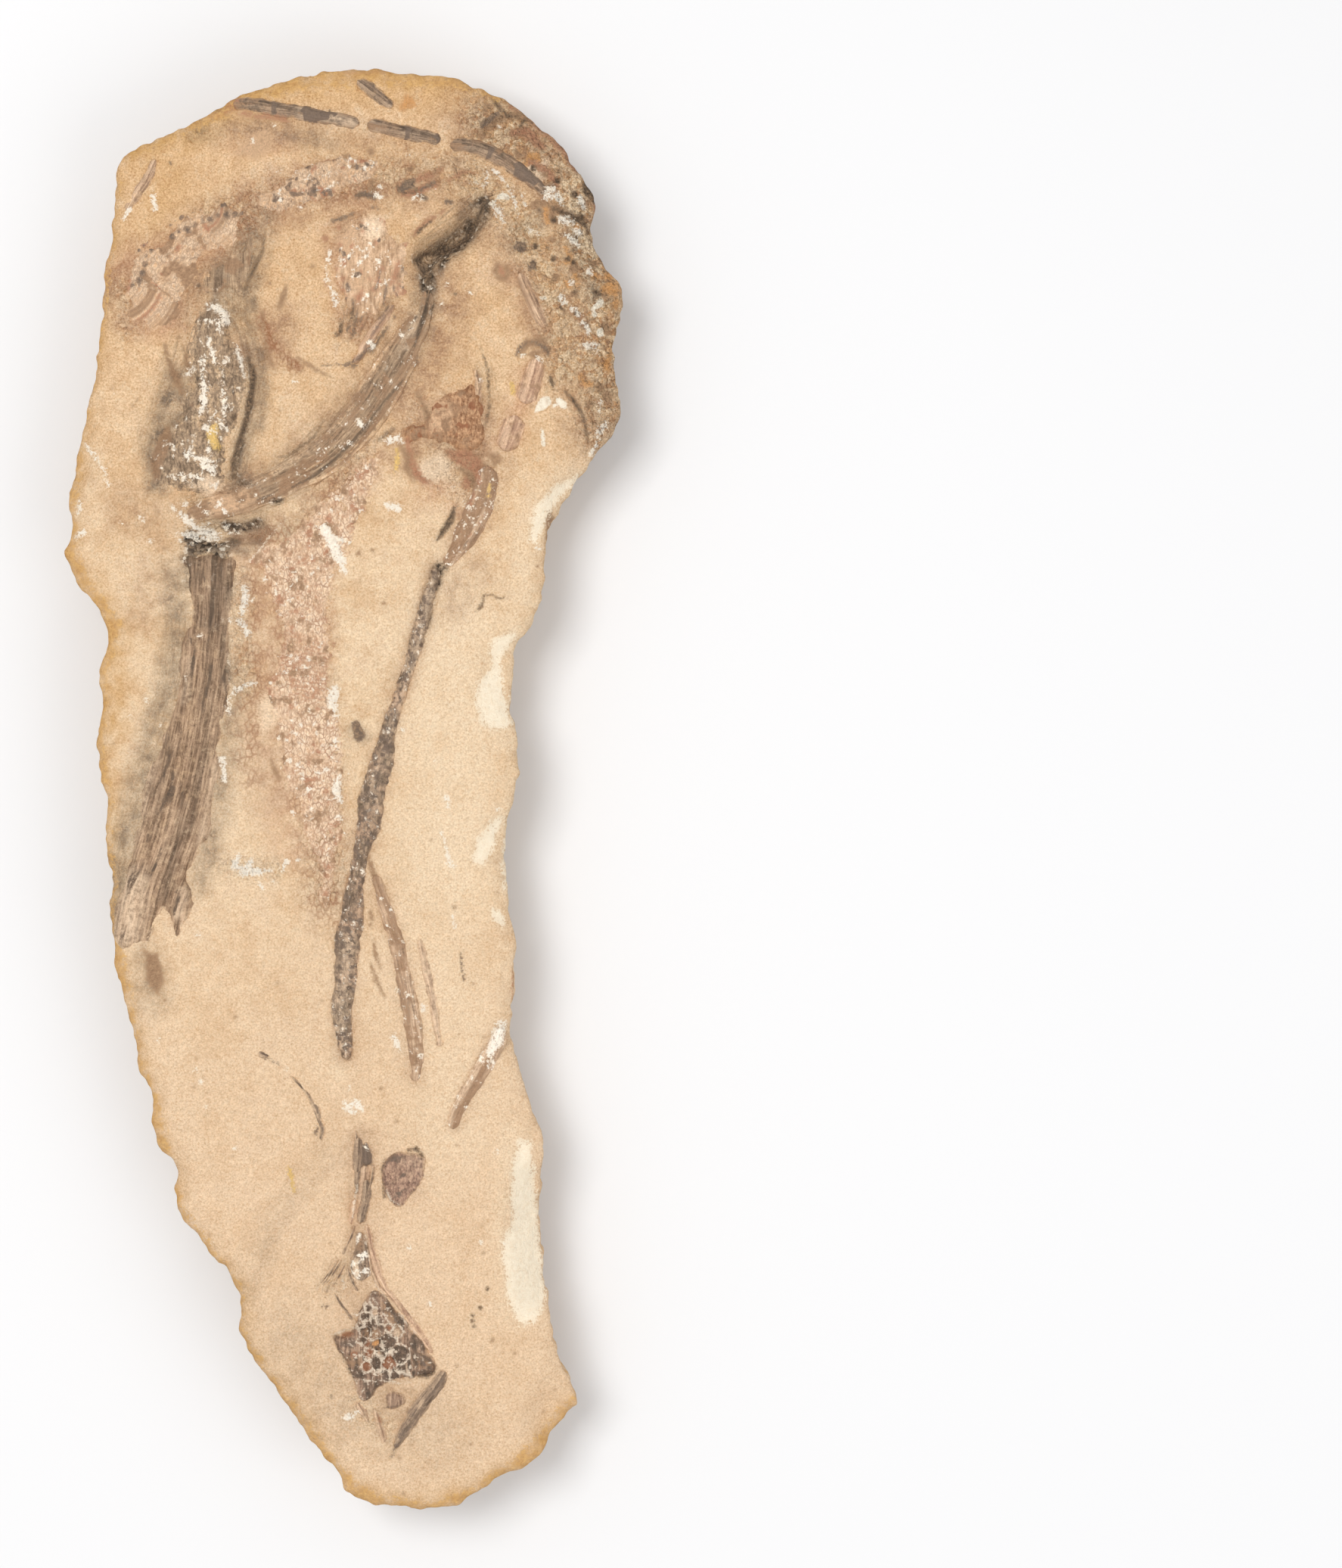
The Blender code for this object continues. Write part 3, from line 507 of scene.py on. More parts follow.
        patch((49.4, 115), (53, 115.4), (54, 112), (51, 110)),
        taper((19.6, 118, 2), (21.6, 114, 2.4), (21.6, 110, 2), (24, 105.6, 1.4)),
        taper((39, 110, 1.4), (43, 108, 2.6), (45, 104, 2)),
        taper((25, 136, 1), (29, 128, 1.2), (28, 120, 0.8)),
        taper((34, 136, 0.8), (39, 130, 1), (38, 122, 0.6)),
        # the scale sheet
        taper((8, -23, 1.2), (10, -29, 2.2), (12, -34, 2)),
        taper((-25, 10, 0.6), (-24, 6.4, 1.8), (-22, 3, 0.6)),
        # the long rod and the plain beside it
        taper((70, 84, 1), (70.4, 92, 3.4), (70, 97, 1.4)),
        # the lower plain
        taper((9, -42, 0.6), (9.4, -45, 1.4), (9, -48, 0.6)),
        taper((10, -52, 0.6), (11, -58, 1.6), (12.6, -62, 0.6)),
        taper((9, -60, 0.6), (11, -66, 1.6), (14, -72, 0.6)),
        patch((-69, -56), (-64, -57), (-62, -66), (-64, -71), (-68, -66)),
        # the narrow end
        patch((4, -153), (6.6, -153), (6.4, -159), (4.4, -159)),
        patch((12.6, -176), (15, -176.6), (19, -181), (21.4, -187), (20.6, -189), (17, -184), (13.6, -180)),
        patch((1.4, -195.2), (5.4, -195.6), (6.4, -198.4), (3, -199), (1.2, -197.8)),
        patch(
            (22.8, -192.6), (25.7, -193.3), (29.4, -195.9), (31.8, -199.4), (28.4, -198.8), (25.2, -199),
            (23.4, -197.8)),
    ],
    "slate": [
        # across the top
        patch((47, 226), (50, 228.6), (53.6, 231.6), (53, 233), (49.6, 231), (47, 228.6)),
        # the crumbly band at the right
        patch((57.8, 186), (59.6, 188.2), (62.6, 187.6), (62.8, 184.6), (60, 183.8)),
        patch((63.4, 178), (64, 181.6), (66, 182), (66.2, 178.6)),
        taper((59.6, 148.6, 0.9), (60.6, 151.8, 1.4), (63, 153.4, 0.7), (66, 153, 0.7), (69, 151.4, 1.3),
            (70.2, 149, 0.7)),
        # the ledge
        line(1.6, (35, 201.6), (37, 201)),
        # the smooth plate
        patch((18.6, 204.4), (18.6, 207), (22, 209.4), (25, 209.6), (24, 206), (20.6, 204.6)),
        taper((26, 205.4, 1.2), (28.4, 206.6, 1.6), (31, 208, 1)), line(1.6, (26, 203.6), (28, 202.6)),
        taper((4, 203.4, 0.8), (7, 204, 2), (10, 203, 2), (11, 202, 0.8)),
        taper((9.6, 199.4, 0.6), (12, 199, 0.9)),
        taper((-4, 194.6, 1), (-1, 195.6, 1.4), (3, 197.4, 0.8)),
        patch((0, 173.6), (1.6, 174), (2.4, 171), (1, 170)),
        taper((13.4, 166.4, 0.4), (14, 169.6, 0.9), (14.6, 173, 0.5)),
        taper((10.6, 171, 0.3), (12, 174.4, 0.6), (12.6, 178, 0.3)), line(0.5, (17, 172), (18.4, 169)),
        taper((19.4, 176, 0.4), (19.8, 178, 0.8), (20, 179.4, 0.3)),
        taper((5, 160, 0.4), (6, 161.6, 0.8), (7.6, 163.4, 0.5)), taper((12, 161, 0.6), (15, 165, 0.9)),
        taper((17.4, 162.4, 0.6), (13, 156, 1.0), (9, 150, 0.5)),
        taper((16.6, 165.6, 0.5), (11.6, 159, 0.8), (7.4, 151.6, 0.5)), line(0.6, (3, 165), (1, 157)),
        line(0.6, (4.6, 164), (3, 156)), line(0.5, (0, 162), (-2, 157)),
        # the arch
        taper((10, 153, 0.5), (5, 147.6, 1.4), (0, 145, 0.7)),
        taper((-8, 145, 0.3), (-2, 145.6, 0.6), (5, 145, 0.4)),
        # the scale sheet
        taper((4, 22, 3), (5, 18, 4)),
        # the lower plain
        line(1.0, (-27, -93), (-23, -94.5)), line(0.7, (40, -57), (41, -66)),
        # the narrow end
        patch((-1.8, -190.4), (1, -189.9), (4.3, -189.5), (4, -191.4), (1, -192), (-1.2, -192)),
        patch((6, -122.6), (8, -122.2), (9.2, -126), (9.2, -129.6), (6, -129.6)),
        line(0.7, (-9, -116), (-10, -119)), line(1.2, (-6, -178), (-7, -179)),
        line(0.8, (-8, -178), (-7, -179.4)), taper((14, -213, 0.6), (20, -212, 0.4)),
        taper((16, -230, 0.25), (18, -226, 0.7)),
        taper((15, -177, 0.8), (17.6, -181, 1.6), (19, -185, 0.8)),
        taper((24.6, -194, 0.8), (27, -197, 1.6), (30, -199.6, 0.8)), line(0.8, (34, -203), (28.6, -210)),
        line(0.8, (24.6, -213.6), (23.4, -215.6)), line(1.0, (20.6, -220), (19, -223)),
        taper((13.6, -127, 0.5), (12.8, -133, 0.7), (14, -141, 0.7)),
    ],
    "dark": [
        # across the top
        taper((50, 238, 0.6), (53, 234.4, 1.4), (56, 231, 1.2), (60, 231, 0.5)),
        patch((-47, 233.6), (-43, 236.2), (-41, 235), (-44, 232.6)),
        line(0.9, (-60, 215), (-59.8, 214.8)),
        # the crumbly band at the right
        taper((70.6, 141.4, 0.9), (71.4, 139.6, 1.6), (71.6, 137.8, 0.8)),
        taper((76, 136.4, 0.6), (79, 133, 1.2), (81.8, 128.8, 1.2), (83, 123, 0.8), (83.6, 119, 0.3)),
        patch((82, 209.4), (84.6, 208.6), (85.6, 204.6), (83, 203.6), (81.4, 206)),
        line(1.4, (86, 171), (87.6, 170)),
        taper((71.6, 199.4, 0.8), (76, 197.6, 1.8), (81, 195.4, 1.8), (84.4, 192, 0.8)),
        taper((60, 226, 0.5), (62, 231, 1.4), (66, 228, 0.5)),
        patch((82, 210), (86, 206), (86.6, 200), (84, 203)),
        # the ledge
        # painted shadow: dark lines along the slot under the ledge
        taper((24.4, 182, 1), (27, 184.4, 1.6), (30, 184.8, 1.6), (33.4, 186.2, 1.4), (38, 188.6, 1)),
        taper((48, 202, 0.8), (46, 196.6, 1.6), (42.6, 191, 1.9), (37.6, 187, 2.0), (32, 184.8, 2.2),
            (27, 184, 1.6)),
        line(1.0, (38, 170), (38.3, 170.2)),
        # the smooth plate
        # painted shadow down the gully below the ledge
        taper((24.6, 181.4, 0.8), (26.4, 178.6, 1.4), (27.4, 174.6, 0.8)),
        taper((25.4, 190.8, 0.8), (27, 192.6, 1.0), (30, 194.8, 0.6)),
        taper((2.8, 168, 0.9), (3.2, 165, 1.0), (2, 160, 0.4)),
        taper((-1, 161, 0.7), (-1.4, 157, 1.0), (-3.4, 155, 0.5)),
        taper((4.6, 202.6, 0.6), (6, 203.8, 0.8)),
        taper((20.4, 204.4, 1), (24.4, 204.8, 1.2), (25, 206.4, 0.6)),
        line(0.9, (18.4, 207), (18.8, 204.8)),
        # painted shadow down the gully beside the arch
        taper((27, 184, 1.2), (25, 181.4, 2.4), (28, 178, 2.2), (29, 172, 1)),
        taper((29, 170, 0.6), (27.6, 164, 1.4), (25.6, 157, 1.2), (24, 152, 0.5)),
        # the fin and its lobe
        taper((-27, 192, 0.5), (-28, 185, 1), (-31.6, 177, 1.2), (-34, 172, 0.6)),
        line(0.9, (-50, 173), (-50.2, 172.8)),
        # the chalky bone
        # painted shade in the crevice beside the chalky bone
        taper((-33, 148, 1), (-31.4, 143, 1.8), (-31.8, 137, 2), (-33, 130, 1.8), (-34.4, 124, 2),
            (-36.4, 118, 1.6), (-38.2, 112, 1.6), (-38.4, 106, 0.8)),
        # the arch
        # painted shadow under the arch's lower edge
        taper((-18, 103.6, 0.4), (-10, 107.6, 0.7), (-3, 113.6, 0.9), (5, 121.6, 0.8), (12, 130.6, 0.7),
            (20, 140, 0.3)),
        # the amber plate and the shoulder rods
        taper((46.6, 152, 0.3), (49.4, 144, 0.7), (49.8, 131, 0.7), (48.6, 124, 0.3)),
        # the shaft
        # painted shadow under the recess over the shaft
        taper((-54, 85, 0.4), (-48, 85.6, 0.8), (-40, 86, 0.8), (-36, 84.6, 0.5)),
        # the long rod and the plain beside it
        taper((38, 97, 0.8), (36.4, 92, 2.6), (33.6, 88, 2), (31.6, 85, 0.6)),
        taper((45, 60.5, 0.3), (47, 62.5, 0.8), (48, 66, 0.8), (50, 66.6, 0.7), (53, 65.2, 0.5),
            (56, 65.6, 0.3)),
        # the narrow end
        line(1.3, (44, -181), (44.3, -181.2)), line(1.1, (46.5, -178.5), (46.8, -178.7)),
        line(1.2, (44, -183), (44.2, -183.2)), line(1.2, (44.5, -184.7), (44.7, -184.9)),
        line(1.0, (49, -172), (49.2, -172.2)), line(1.0, (59.5, -152.5), (59.7, -152.7)),
        line(1.0, (-4.5, -209), (-4.3, -209.2)),
        taper((22, -124.6, 0.6), (24.6, -124, 1.4), (27, -126.4, 0.6)),
        taper((-3.8, -188.8, 0.3), (-0.6, -186.9, 0.6), (2.4, -186.1, 0.3)),
        taper((-3.6, -189, 0.3), (-1, -194, 0.6), (0.6, -198, 0.4)),
        patch((3, -199.8), (6, -199.4), (8.2, -202.2), (5.6, -202.8), (3.2, -202.4)),
        patch((1, -198.8), (2.6, -199.2), (2.8, -201.4), (1.6, -201)),
        taper((23.2, -193.4, 0.8), (24.4, -196, 1.9), (24.8, -198.4, 0.8)),
        taper((25.8, -193.8, 0.4), (29, -196, 0.8), (31.4, -199, 0.4)),
        patch((24.8, -200.6), (27.6, -199.4), (31.4, -200), (31, -201.4), (28.6, -202.8), (25.4, -202.6)),
    ],
    "russet": [
        patch((-1.2, -188.2), (0.6, -187.1), (2.6, -186.8), (3.2, -187.5), (1.4, -188.7), (-0.6, -189.2)),
        patch((2.3, -193.7), (4.6, -193.6), (4.8, -194.8), (2.5, -195)),
        line(0.9, (12.2, -216.4), (12.8, -217.6)),
    ],
    "wall": [
        # the scale sheet
        taper((-21.4, 91, 0.3), (-26, 85.6, 0.7), (-33, 77.6, 0.5)),
        # the narrow end
        taper((10, -175, 0.3), (13.6, -180, 0.5), (16, -184, 0.3)),
        taper((-3.6, -188, 0.4), (0, -186.8, 0.5), (4, -185.4, 0.3)),
        taper((12, -203.2, 0.3), (18, -204.4, 0.9), (23.6, -204, 0.4)),
        taper((3.2, -203, 0.2), (8, -203.2, 0.5), (12.6, -204, 0.3)),
        taper((6.6, -150, 0.3), (7.6, -156, 0.6), (8.6, -162, 0.3)),
        taper((8.4, -166, 0.3), (11, -171, 0.6), (15, -175.6, 0.3)),
        taper((4.6, -136, 0.2), (3.4, -142, 0.5), (2.6, -148, 0.2)),
        taper((16, -176.4, 0.2), (21, -183, 0.5), (26.6, -189.6, 0.3)),
        taper((14.4, -138, 0.4), (16, -141.6, 0.9), (19, -142.8, 0.5)),
        line(0.5, (-0.8, -168), (-0.2, -172)),
    ],
    "scar": [
        patch((80, 108), (72, 104), (66, 97), (63, 85), (66, 84), (70, 95), (76, 102), (84, 109)),
        patch((59, 53), (52, 52), (50, 49), (51, 42), (46, 36), (45, 30), (48, 22), (52, 20), (57, 21),
            (56, 27), (54, 35), (54, 45), (56, 50)),
        patch((54, -10), (50, -12), (46, -18), (44, -25), (48, -26), (52, -20)),
        line(2.6, (52, -43), (54, -46)), taper((60, 42, 1), (58, 30, 2), (58, 22, 1)),
        taper((57, -12, 1), (55, -20, 1.6), (55, -34, 1)),
        patch((60, -121), (64, -122), (66, -150), (69, -175), (66, -184), (60, -184), (56, -175),
            (55, -165), (54, -155), (58, -150), (57, -140), (58, -130)),
    ],
}
# How far each kind stands above the stone in the middle of its mark, in millimetres.
MARK_RISE = {
    "rosy": 0.15, "cream": 0.2, "pearl": 0.4, "chalk": 0.35, "wall": 0.15, "russet": -0.1, "yellow": 0.1,
    "orange": 0.1, "red": 0.15, "brown": 0.0, "slate": 0.25, "dark": -0.7, "scar": -0.3,
}

# Soft tones: strength, half-width and the middle line. Each fades out from its line.
TONES = {
    # prints of scales pressed into the stone
    "scaly": [
        (1.0, 16, [(-22, 84), (-20, 60), (-18, 36), (-14, 10), (-9, -14), (-4, -40)]),
        (0.8, 12, [(-2, 106), (-10, 92), (-14, 76)]),
        (0.8, 10, [(-30, 76), (-31, 50), (-33, 26), (-34, 4)]),
        (0.9, 14, [(-74, 176), (-62, 184), (-46, 190), (-30, 200), (-10, 206), (10, 208), (24, 210)]),
        (1.4, 4.6, [(-28, 161), (-26, 154), (-21, 148), (-17, 145)]),
        (0.8, 12, [(2, 188), (6, 172), (6, 162)]),
    ],
    # black grit, and painted shadow in the gully under the ledge and in the hollows beside the bones
    "grit_and_shadow": [
        (0.25, 3.6, [(-60, 126), (-63, 119), (-65, 112), (-65, 104)]),
        (0.9, 8, [(-52, 86), (-44, 82), (-42, 70), (-46, 58)]), (0.7, 7, [(-53, 84), (-52, 72)]),
        (0.35, 5, [(-46, 58), (-46, 40), (-48, 20), (-51, 2), (-52, -14)]),
        (0.4, 4, [(-60, 16), (-63, 0), (-66, -14)]), (0.5, 5, [(-43, 64), (-42, 50), (-41, 38)]),
        (0.5, 4, [(-55, -6), (-58, -22), (-62, -38)]),
        (0.75, 5.5, [(48, 202), (46, 196), (42, 190.6), (37, 187)]),
        (0.8, 5.5, [(37, 187), (31, 184), (26.4, 181.6)]),
        (0.9, 5, [(30, 182), (28.6, 177), (28.6, 172)]),
        (0.65, 5, [(28, 170), (28, 166), (25, 160), (22, 155)]),
        (0.7, 5, [(33, 181), (38, 186), (43, 192)]),
        (0.5, 4.0, [(21, 153), (18, 148), (14, 142), (8, 135)]),
        (0.5, 3.0, [(13, 130), (8, 124), (1, 118), (-8, 110)]),
        (0.55, 3.4, [(-24, 103), (-34, 104), (-40, 108)]),
        (0.6, 2.8, [(-33, 147), (-31.6, 140), (-32.6, 130), (-35, 119), (-38, 108)]),
        (0.8, 3.6, [(-41, 90), (-34, 90), (-29, 91)]), (0.8, 3, [(-29, 99), (-22, 99)]),
        (0.3, 4.0, [(-63, 108), (-64, 116), (-60, 123), (-55, 130), (-51, 137)]),
        (0.2, 3.6, [(-62, 152), (-60, 145), (-57, 140)]), (0.2, 3.4, [(-55, 151), (-53, 144)]),
        (0.6, 4.5, [(-50, 82), (-44, 80), (-40, 84)]),
        (0.8, 4.4, [(33, 76), (30, 68), (28, 60), (25, 50)]),
        (0.4, 5, [(-42, 178), (-44, 170), (-46, 160)]), (0.35, 4, [(-30, 176), (-31, 166)]),
        (0.4, 3, [(11, 119), (17, 124)]),
    ],
    # crumbly, pitted stone
    "rubble": [
        (0.85, 17, [(50, 228), (66, 222), (80, 204), (84, 184), (90, 162), (89, 140), (90, 124)]),
        (0.7, 14, [(42, 212), (56, 200), (66, 184), (76, 160), (76, 144)]),
        (0.45, 14, [(-44, 196), (-22, 206), (6, 210), (34, 212)]),
        (0.4, 14, [(4, 190), (6, 170), (2, 158)]),
        (0.45, 15, [(6, 114), (-4, 98), (-12, 78), (-12, 56), (-12, 30), (-9, 4), (-5, -34)]),
        (0.45, 14, [(28, 128), (42, 126), (34, 108), (46, 100)]), (0.6, 10, [(-50, 97), (-46, 92)]),
        (0.5, 9, [(-36, 72), (-36, 50), (-34, 34)]), (0.4, 10, [(-74, 158), (-76, 172)]),
        (0.35, 12, [(-50, 160), (-44, 130), (-54, 108)]), (0.5, 7, [(-40, -27), (-24, -28)]),
        (0.35, 8, [(6, -160), (-4, -172)]), (0.35, 8, [(4, -212), (14, -220)]),
    ],
    # rusty stone by the rim
    "ochre": [
        (0.95, 19, [(-70, 222), (-47, 233), (-20, 244), (5, 248), (30, 246), (52, 238)]),
        (0.95, 15, [(-90, 64), (-82, 52), (-83, 38), (-84, 22)]),
        (0.65, 8, [(-78, 212), (-83, 180), (-88, 145), (-95, 105), (-96, 80)]),
        (0.75, 8, [(-84, 20), (-82, -10), (-81, -45), (-75, -80), (-70, -100), (-66, -118), (-59, -140)]),
        (0.60, 9, [(-50, -158), (-37, -172), (-34, -194), (-14, -220), (0, -242)]),
        (0.6, 10, [(0, -243), (22, -248), (44, -243), (66, -230), (78, -214)]),
        (0.7, 12, [(88, 178), (92, 158), (92, 132)]),
        (0.6, 7, [(70, 212), (76, 190), (81, 170), (82, 150), (80, 136)]),
        (0.5, 14, [(-60, 210), (-66, 195)]),
    ],
    # stone and bone worn pale
    "pale": [
        (0.8, 3, [(24.4, 162), (22.6, 157), (20.6, 152)]),
        (0.5, 2.6, [(-34.6, 150), (-33.6, 140), (-36, 130)]),
        (1.0, 34, [(34, 60), (36, 30), (36, 0), (36, -30)]),
        (0.6, 26, [(34, -60), (38, -90), (36, -120)]),
        (0.5, 4, [(-57, 44), (-60, 28), (-65, 12), (-70, -6), (-74, -22)]),
        (1.0, 8, [(-72, -32), (-75, -52)]), (0.8, 5, [(2, -52), (-1, -74), (-2, -98)]),
        (0.7, 5, [(51, 102), (45, 92), (41, 86)]), (0.7, 4, [(-14, 232), (-2, 229.5), (10, 226)]),
        (0.5, 5, [(22, -60), (25, -80), (26, -100)]), (0.6, 3.4, [(-44, 8), (-46, -8), (-49, -20)]),
        (0.5, 3, [(-39, 66), (-39, 50), (-40, 34)]), (0.6, 4, [(-57, -44), (-55, -36)]),
        (0.4, 3, [(-53, 44), (-55, 30)]), (0.8, 9, [(60, 55), (52, 45), (48, 30), (54, 16)]),
        (0.8, 9, [(56, -8), (46, -20), (50, -40)]), (0.8, 10, [(84, 112), (70, 100), (62, 84), (62, 66)]),
        (0.7, 10, [(58, -120), (56, -150), (58, -180)]), (0.5, 20, [(-30, 20), (-34, 0), (-30, -20)]),
    ],
    # the rosy stone under the scales
    "pink": [
        (0.40, 16, [(-28, 78), (-27, 50), (-26, 24), (-22, 0), (-16, -20)]),
        (0.9, 13, [(-70, 163), (-58, 164)]), (0.8, 12, [(-77, 177), (-62, 182), (-46, 188)]),
        (0.6, 13, [(-30, 202), (-12, 207), (4, 204)]), (0.8, 13, [(2, 190), (4, 176), (5, 162)]),
        (0.5, 9, [(-37, 224), (-20, 222)]), (0.55, 11, [(8, 112), (-4, 96), (-10, 72), (-10, 46)]),
        (0.7, 12, [(26, 128), (40, 130), (46, 120)]), (0.5, 12, [(30, 104), (42, 98)]),
        (0.5, 8, [(60, 176), (68, 160)]), (0.5, 8, [(64, 142), (57, 122)]),
        (0.5, 9, [(-30, 103), (-46, 97)]),
    ],
    # brown stain around the bones
    "umber": [
        (1.0, 6, [(-38, 85), (-31, 85), (-26, 87)]),
        (0.7, 4.6, [(-28, 161), (-26, 154), (-21, 148), (-17, 145)]), (0.55, 6, [(44, 112), (42, 105)]),
        (0.7, 14, [(-72, 164), (-60, 168)]), (0.6, 16, [(30, 176), (36, 168), (30, 150), (20, 134)]),
        (0.7, 16, [(24, 118), (38, 122), (46, 112)]), (0.6, 12, [(-34, 150), (-24, 150), (-22, 160)]),
        (0.75, 15, [(-76, 172), (-62, 180), (-46, 190), (-28, 199)]),
        (0.60, 17, [(-28, 199), (-8, 205), (14, 206), (36, 212)]),
        (0.55, 15, [(2, 196), (8, 180), (12, 165)]),
        (0.80, 21, [(46, 232), (64, 222), (76, 204), (82, 184), (86, 162), (86, 140), (88, 124)]),
        (0.55, 12, [(42, 200), (54, 186), (64, 168), (70, 150)]),
        (0.30, 14, [(-30, 70), (-30, 46), (-30, 22), (-26, 0)]),
        (0.28, 15, [
            (8, 116), (-2, 104), (-12, 90), (-14, 70), (-12, 50), (-12, 30), (-10, 10), (-7, -14),
            (-5, -38)]),
        (0.60, 13, [(24, 124), (36, 126), (46, 128)]), (0.55, 10, [(42, 112), (46, 100), (40, 86)]),
        (0.50, 13, [(22, 160), (10, 140), (-4, 124), (-20, 110), (-40, 102)]),
        (0.50, 11, [(-50, 172), (-38, 186), (-32, 196)]),
        (0.35, 10, [(-32, 228), (0, 224), (30, 218), (60, 206)]),
        (0.40, 7, [(32, 76), (24, 47), (15, 19), (9, -10), (4, -32), (0, -66), (0, -92)]),
        (0.35, 7, [(12, -34), (20, -62), (24, -98)]), (0.35, 6, [(53, -84), (38, -115)]),
        (0.40, 10, [(6, -122), (6, -150), (6, -170)]), (0.35, 13, [(4, -178), (16, -192), (16, -210)]),
        (0.35, 12, [(36, 62), (44, 74)]), (0.3, 12, [(20, -134), (22, -136)]),
        (0.45, 14, [(-74, 95), (-60, 92)]), (0.35, 12, [(-60, 84), (-70, 60)]),
    ],
    # painted shade in the hollows, under the ledges and down the steep sides beside the bones
    "grey": [
        (0.8, 4.6, [(-39, 84), (-34, 82), (-30, 84)]),
        (0.95, 10, [(-30, 190), (-34, 182), (-40, 174), (-42, 162)]),
        (0.7, 7, [(-27, 196), (-29, 184), (-34, 170)]),
        (0.8, 7, [(-58, 141), (-62, 128), (-65, 114), (-64, 104)]),
        (0.6, 5, [(-29, 150), (-28, 138), (-30, 124)]),
        (0.95, 8, [(46, 199), (40, 189), (33, 184.6), (29, 176), (28, 166)]),
        (0.80, 8, [(28, 166), (25, 156), (19, 146), (12, 137), (5, 128)]),
        (0.60, 9, [(5, 128), (-4, 119), (-12, 112), (-22, 106), (-36, 101)]),
        (0.70, 10, [(-41, 178), (-42, 168)]), (0.70, 8, [(-52, 142), (-58, 130), (-65, 116)]),
        (0.60, 6, [(-31, 192), (-32, 176), (-33, 160), (-30, 146), (-31, 132), (-35, 116), (-38, 104)]),
        (0.55, 9, [(-58, 74), (-58, 50), (-62, 30), (-70, 4), (-76, -20), (-80, -46)]),
        (0.45, 8, [(-38, 40), (-40, 10), (-44, -12), (-50, -34)]), (0.45, 11, [(-68, -60), (-66, -72)]),
        (0.5, 10, [(-46, 88), (-30, 90)]), (0.55, 11, [(78, 198), (82, 186), (86, 170)]),
        (0.45, 9, [(66, 196), (60, 188)]), (0.55, 5, [(4, 20), (6, 18)]),
        (0.15, 8, [(-6, -124), (-24, -150), (-33, -176)]),
        (0.2, 24, [(-20, -190), (0, -215), (30, -220)]), (0.4, 8, [(-52, 226), (-30, 226), (-6, 222)]),
        (0.5, 9, [(-18, 86), (-14, 78)]),
    ],
}

WHOLE_FACE = [
    (-96, 110), (-40, 228), (60, 235), (95, 160), (70, 90), (59, 0), (60, -100), (76, -210), (20, -247),
    (-36, -180), (-66, -110), (-84, 0),
]
# Loose crumbs: kind, spacing, the share of places that hold one, radius, seed, then their area.
CRUMBS = [
    ("brown", 5.2, 0.5, 2.2, 11, [
        (48, 236), (60, 232), (78, 214), (84, 200), (86, 186), (92, 170), (92, 130), (84, 124), (76, 140),
        (76, 160), (68, 184), (58, 208), (46, 222)]),
    ("dark", 4.6, 0.26, 1.3, 12, [
        (60, 216), (82, 208), (85, 196), (88, 180), (84, 160), (78, 150), (70, 176), (58, 196)]),
    ("chalk", 5.0, 0.06, 0.9, 13, [
        (62, 214), (82, 206), (85, 190), (92, 172), (92, 130), (82, 124), (80, 150), (72, 176), (58, 200)]),
    ("orange", 5.6, 0.28, 1.7, 14, [
        (62, 226), (84, 206), (94, 174), (94, 128), (84, 126), (80, 160), (70, 190)]),
    ("chalk", 4.2, 0.09, 0.8, 15, [
        (-30, 76), (-10, 92), (6, 110), (2, 80), (-4, 40), (2, 4), (-4, -30), (-14, -20), (-24, 10),
        (-24, 50)]),
    ("red", 4.0, 0.30, 1.0, 16, [(-30, 76), (-10, 92), (8, 114), (2, 80), (-4, 40), (-10, 30), (-22, 46)]),
    ("chalk", 3.2, 0.35, 0.9, 17, [(-60, 98), (-40, 100), (-36, 84), (-58, 84)]),
    ("chalk", 4.6, 0.10, 0.5, 18, [(-8, 214), (30, 218), (36, 204), (4, 198)]),
    ("brown", 4.4, 0.40, 1.4, 19, [(-4, 216), (16, 222), (40, 216), (36, 204), (4, 200)]),
    ("red", 4.0, 0.25, 1.0, 20, [(-8, 192), (12, 196), (22, 180), (16, 158), (0, 152), (-6, 172)]),
    ("dark", 6.4, 0.12, 0.45, 21, [(-56, 230), (40, 243), (40, 222), (-40, 224)]),
    ("brown", 7.0, 0.10, 0.45, 22, WHOLE_FACE),
    ("chalk", 9.0, 0.08, 0.5, 23, WHOLE_FACE),
]
# Lines that stone and bone split along: half-width, strength, then the line.
FIBRES = [
    (11, 1.0, [(24, 158), (18, 147), (11, 136), (2, 124), (-8, 114), (-22, 105), (-38, 98), (-56, 93)]),
    (8, 0.7, [(50, 207), (42, 200), (34, 193), (27, 188), (20, 182)]),
    (9, 0.6, [(-33, 192), (-36, 178), (-37, 166), (-33, 150), (-32, 136), (-36, 118), (-40, 104)]),
    (8, 0.7, [(3, 172), (2, 160), (1, 152)]), (5, 0.7, [(16, 176), (13, 166), (9, 156), (4, 148)]),
    (9, 0.6, [(-46, 184), (-52, 170), (-56, 152), (-64, 130), (-68, 108)]),
    (6, 0.5, [(60, 178), (66, 164), (72, 148)]), (6, 0.6, [(46, 150), (49, 138), (47, 122), (44, 104)]),
    (9, 0.5, [(-56, 66), (-60, 34), (-70, 0), (-80, -40)]), (6, 0.4, [(-42, 30), (-44, 0), (-52, -40)]),
    (7, 0.7, [(5, -150), (5, -160), (4, -172)]), (7, 0.7, [(1, -158), (-4, -168), (-9, -178)]),
    (8, 0.6, [(62, -124), (61, -150), (64, -184)]), (6, 0.5, [(-3, 128), (-24, 108), (-34, 102)]),
]
FIBRE_STEP = 4.0
FIBRE_FADE = 9.0
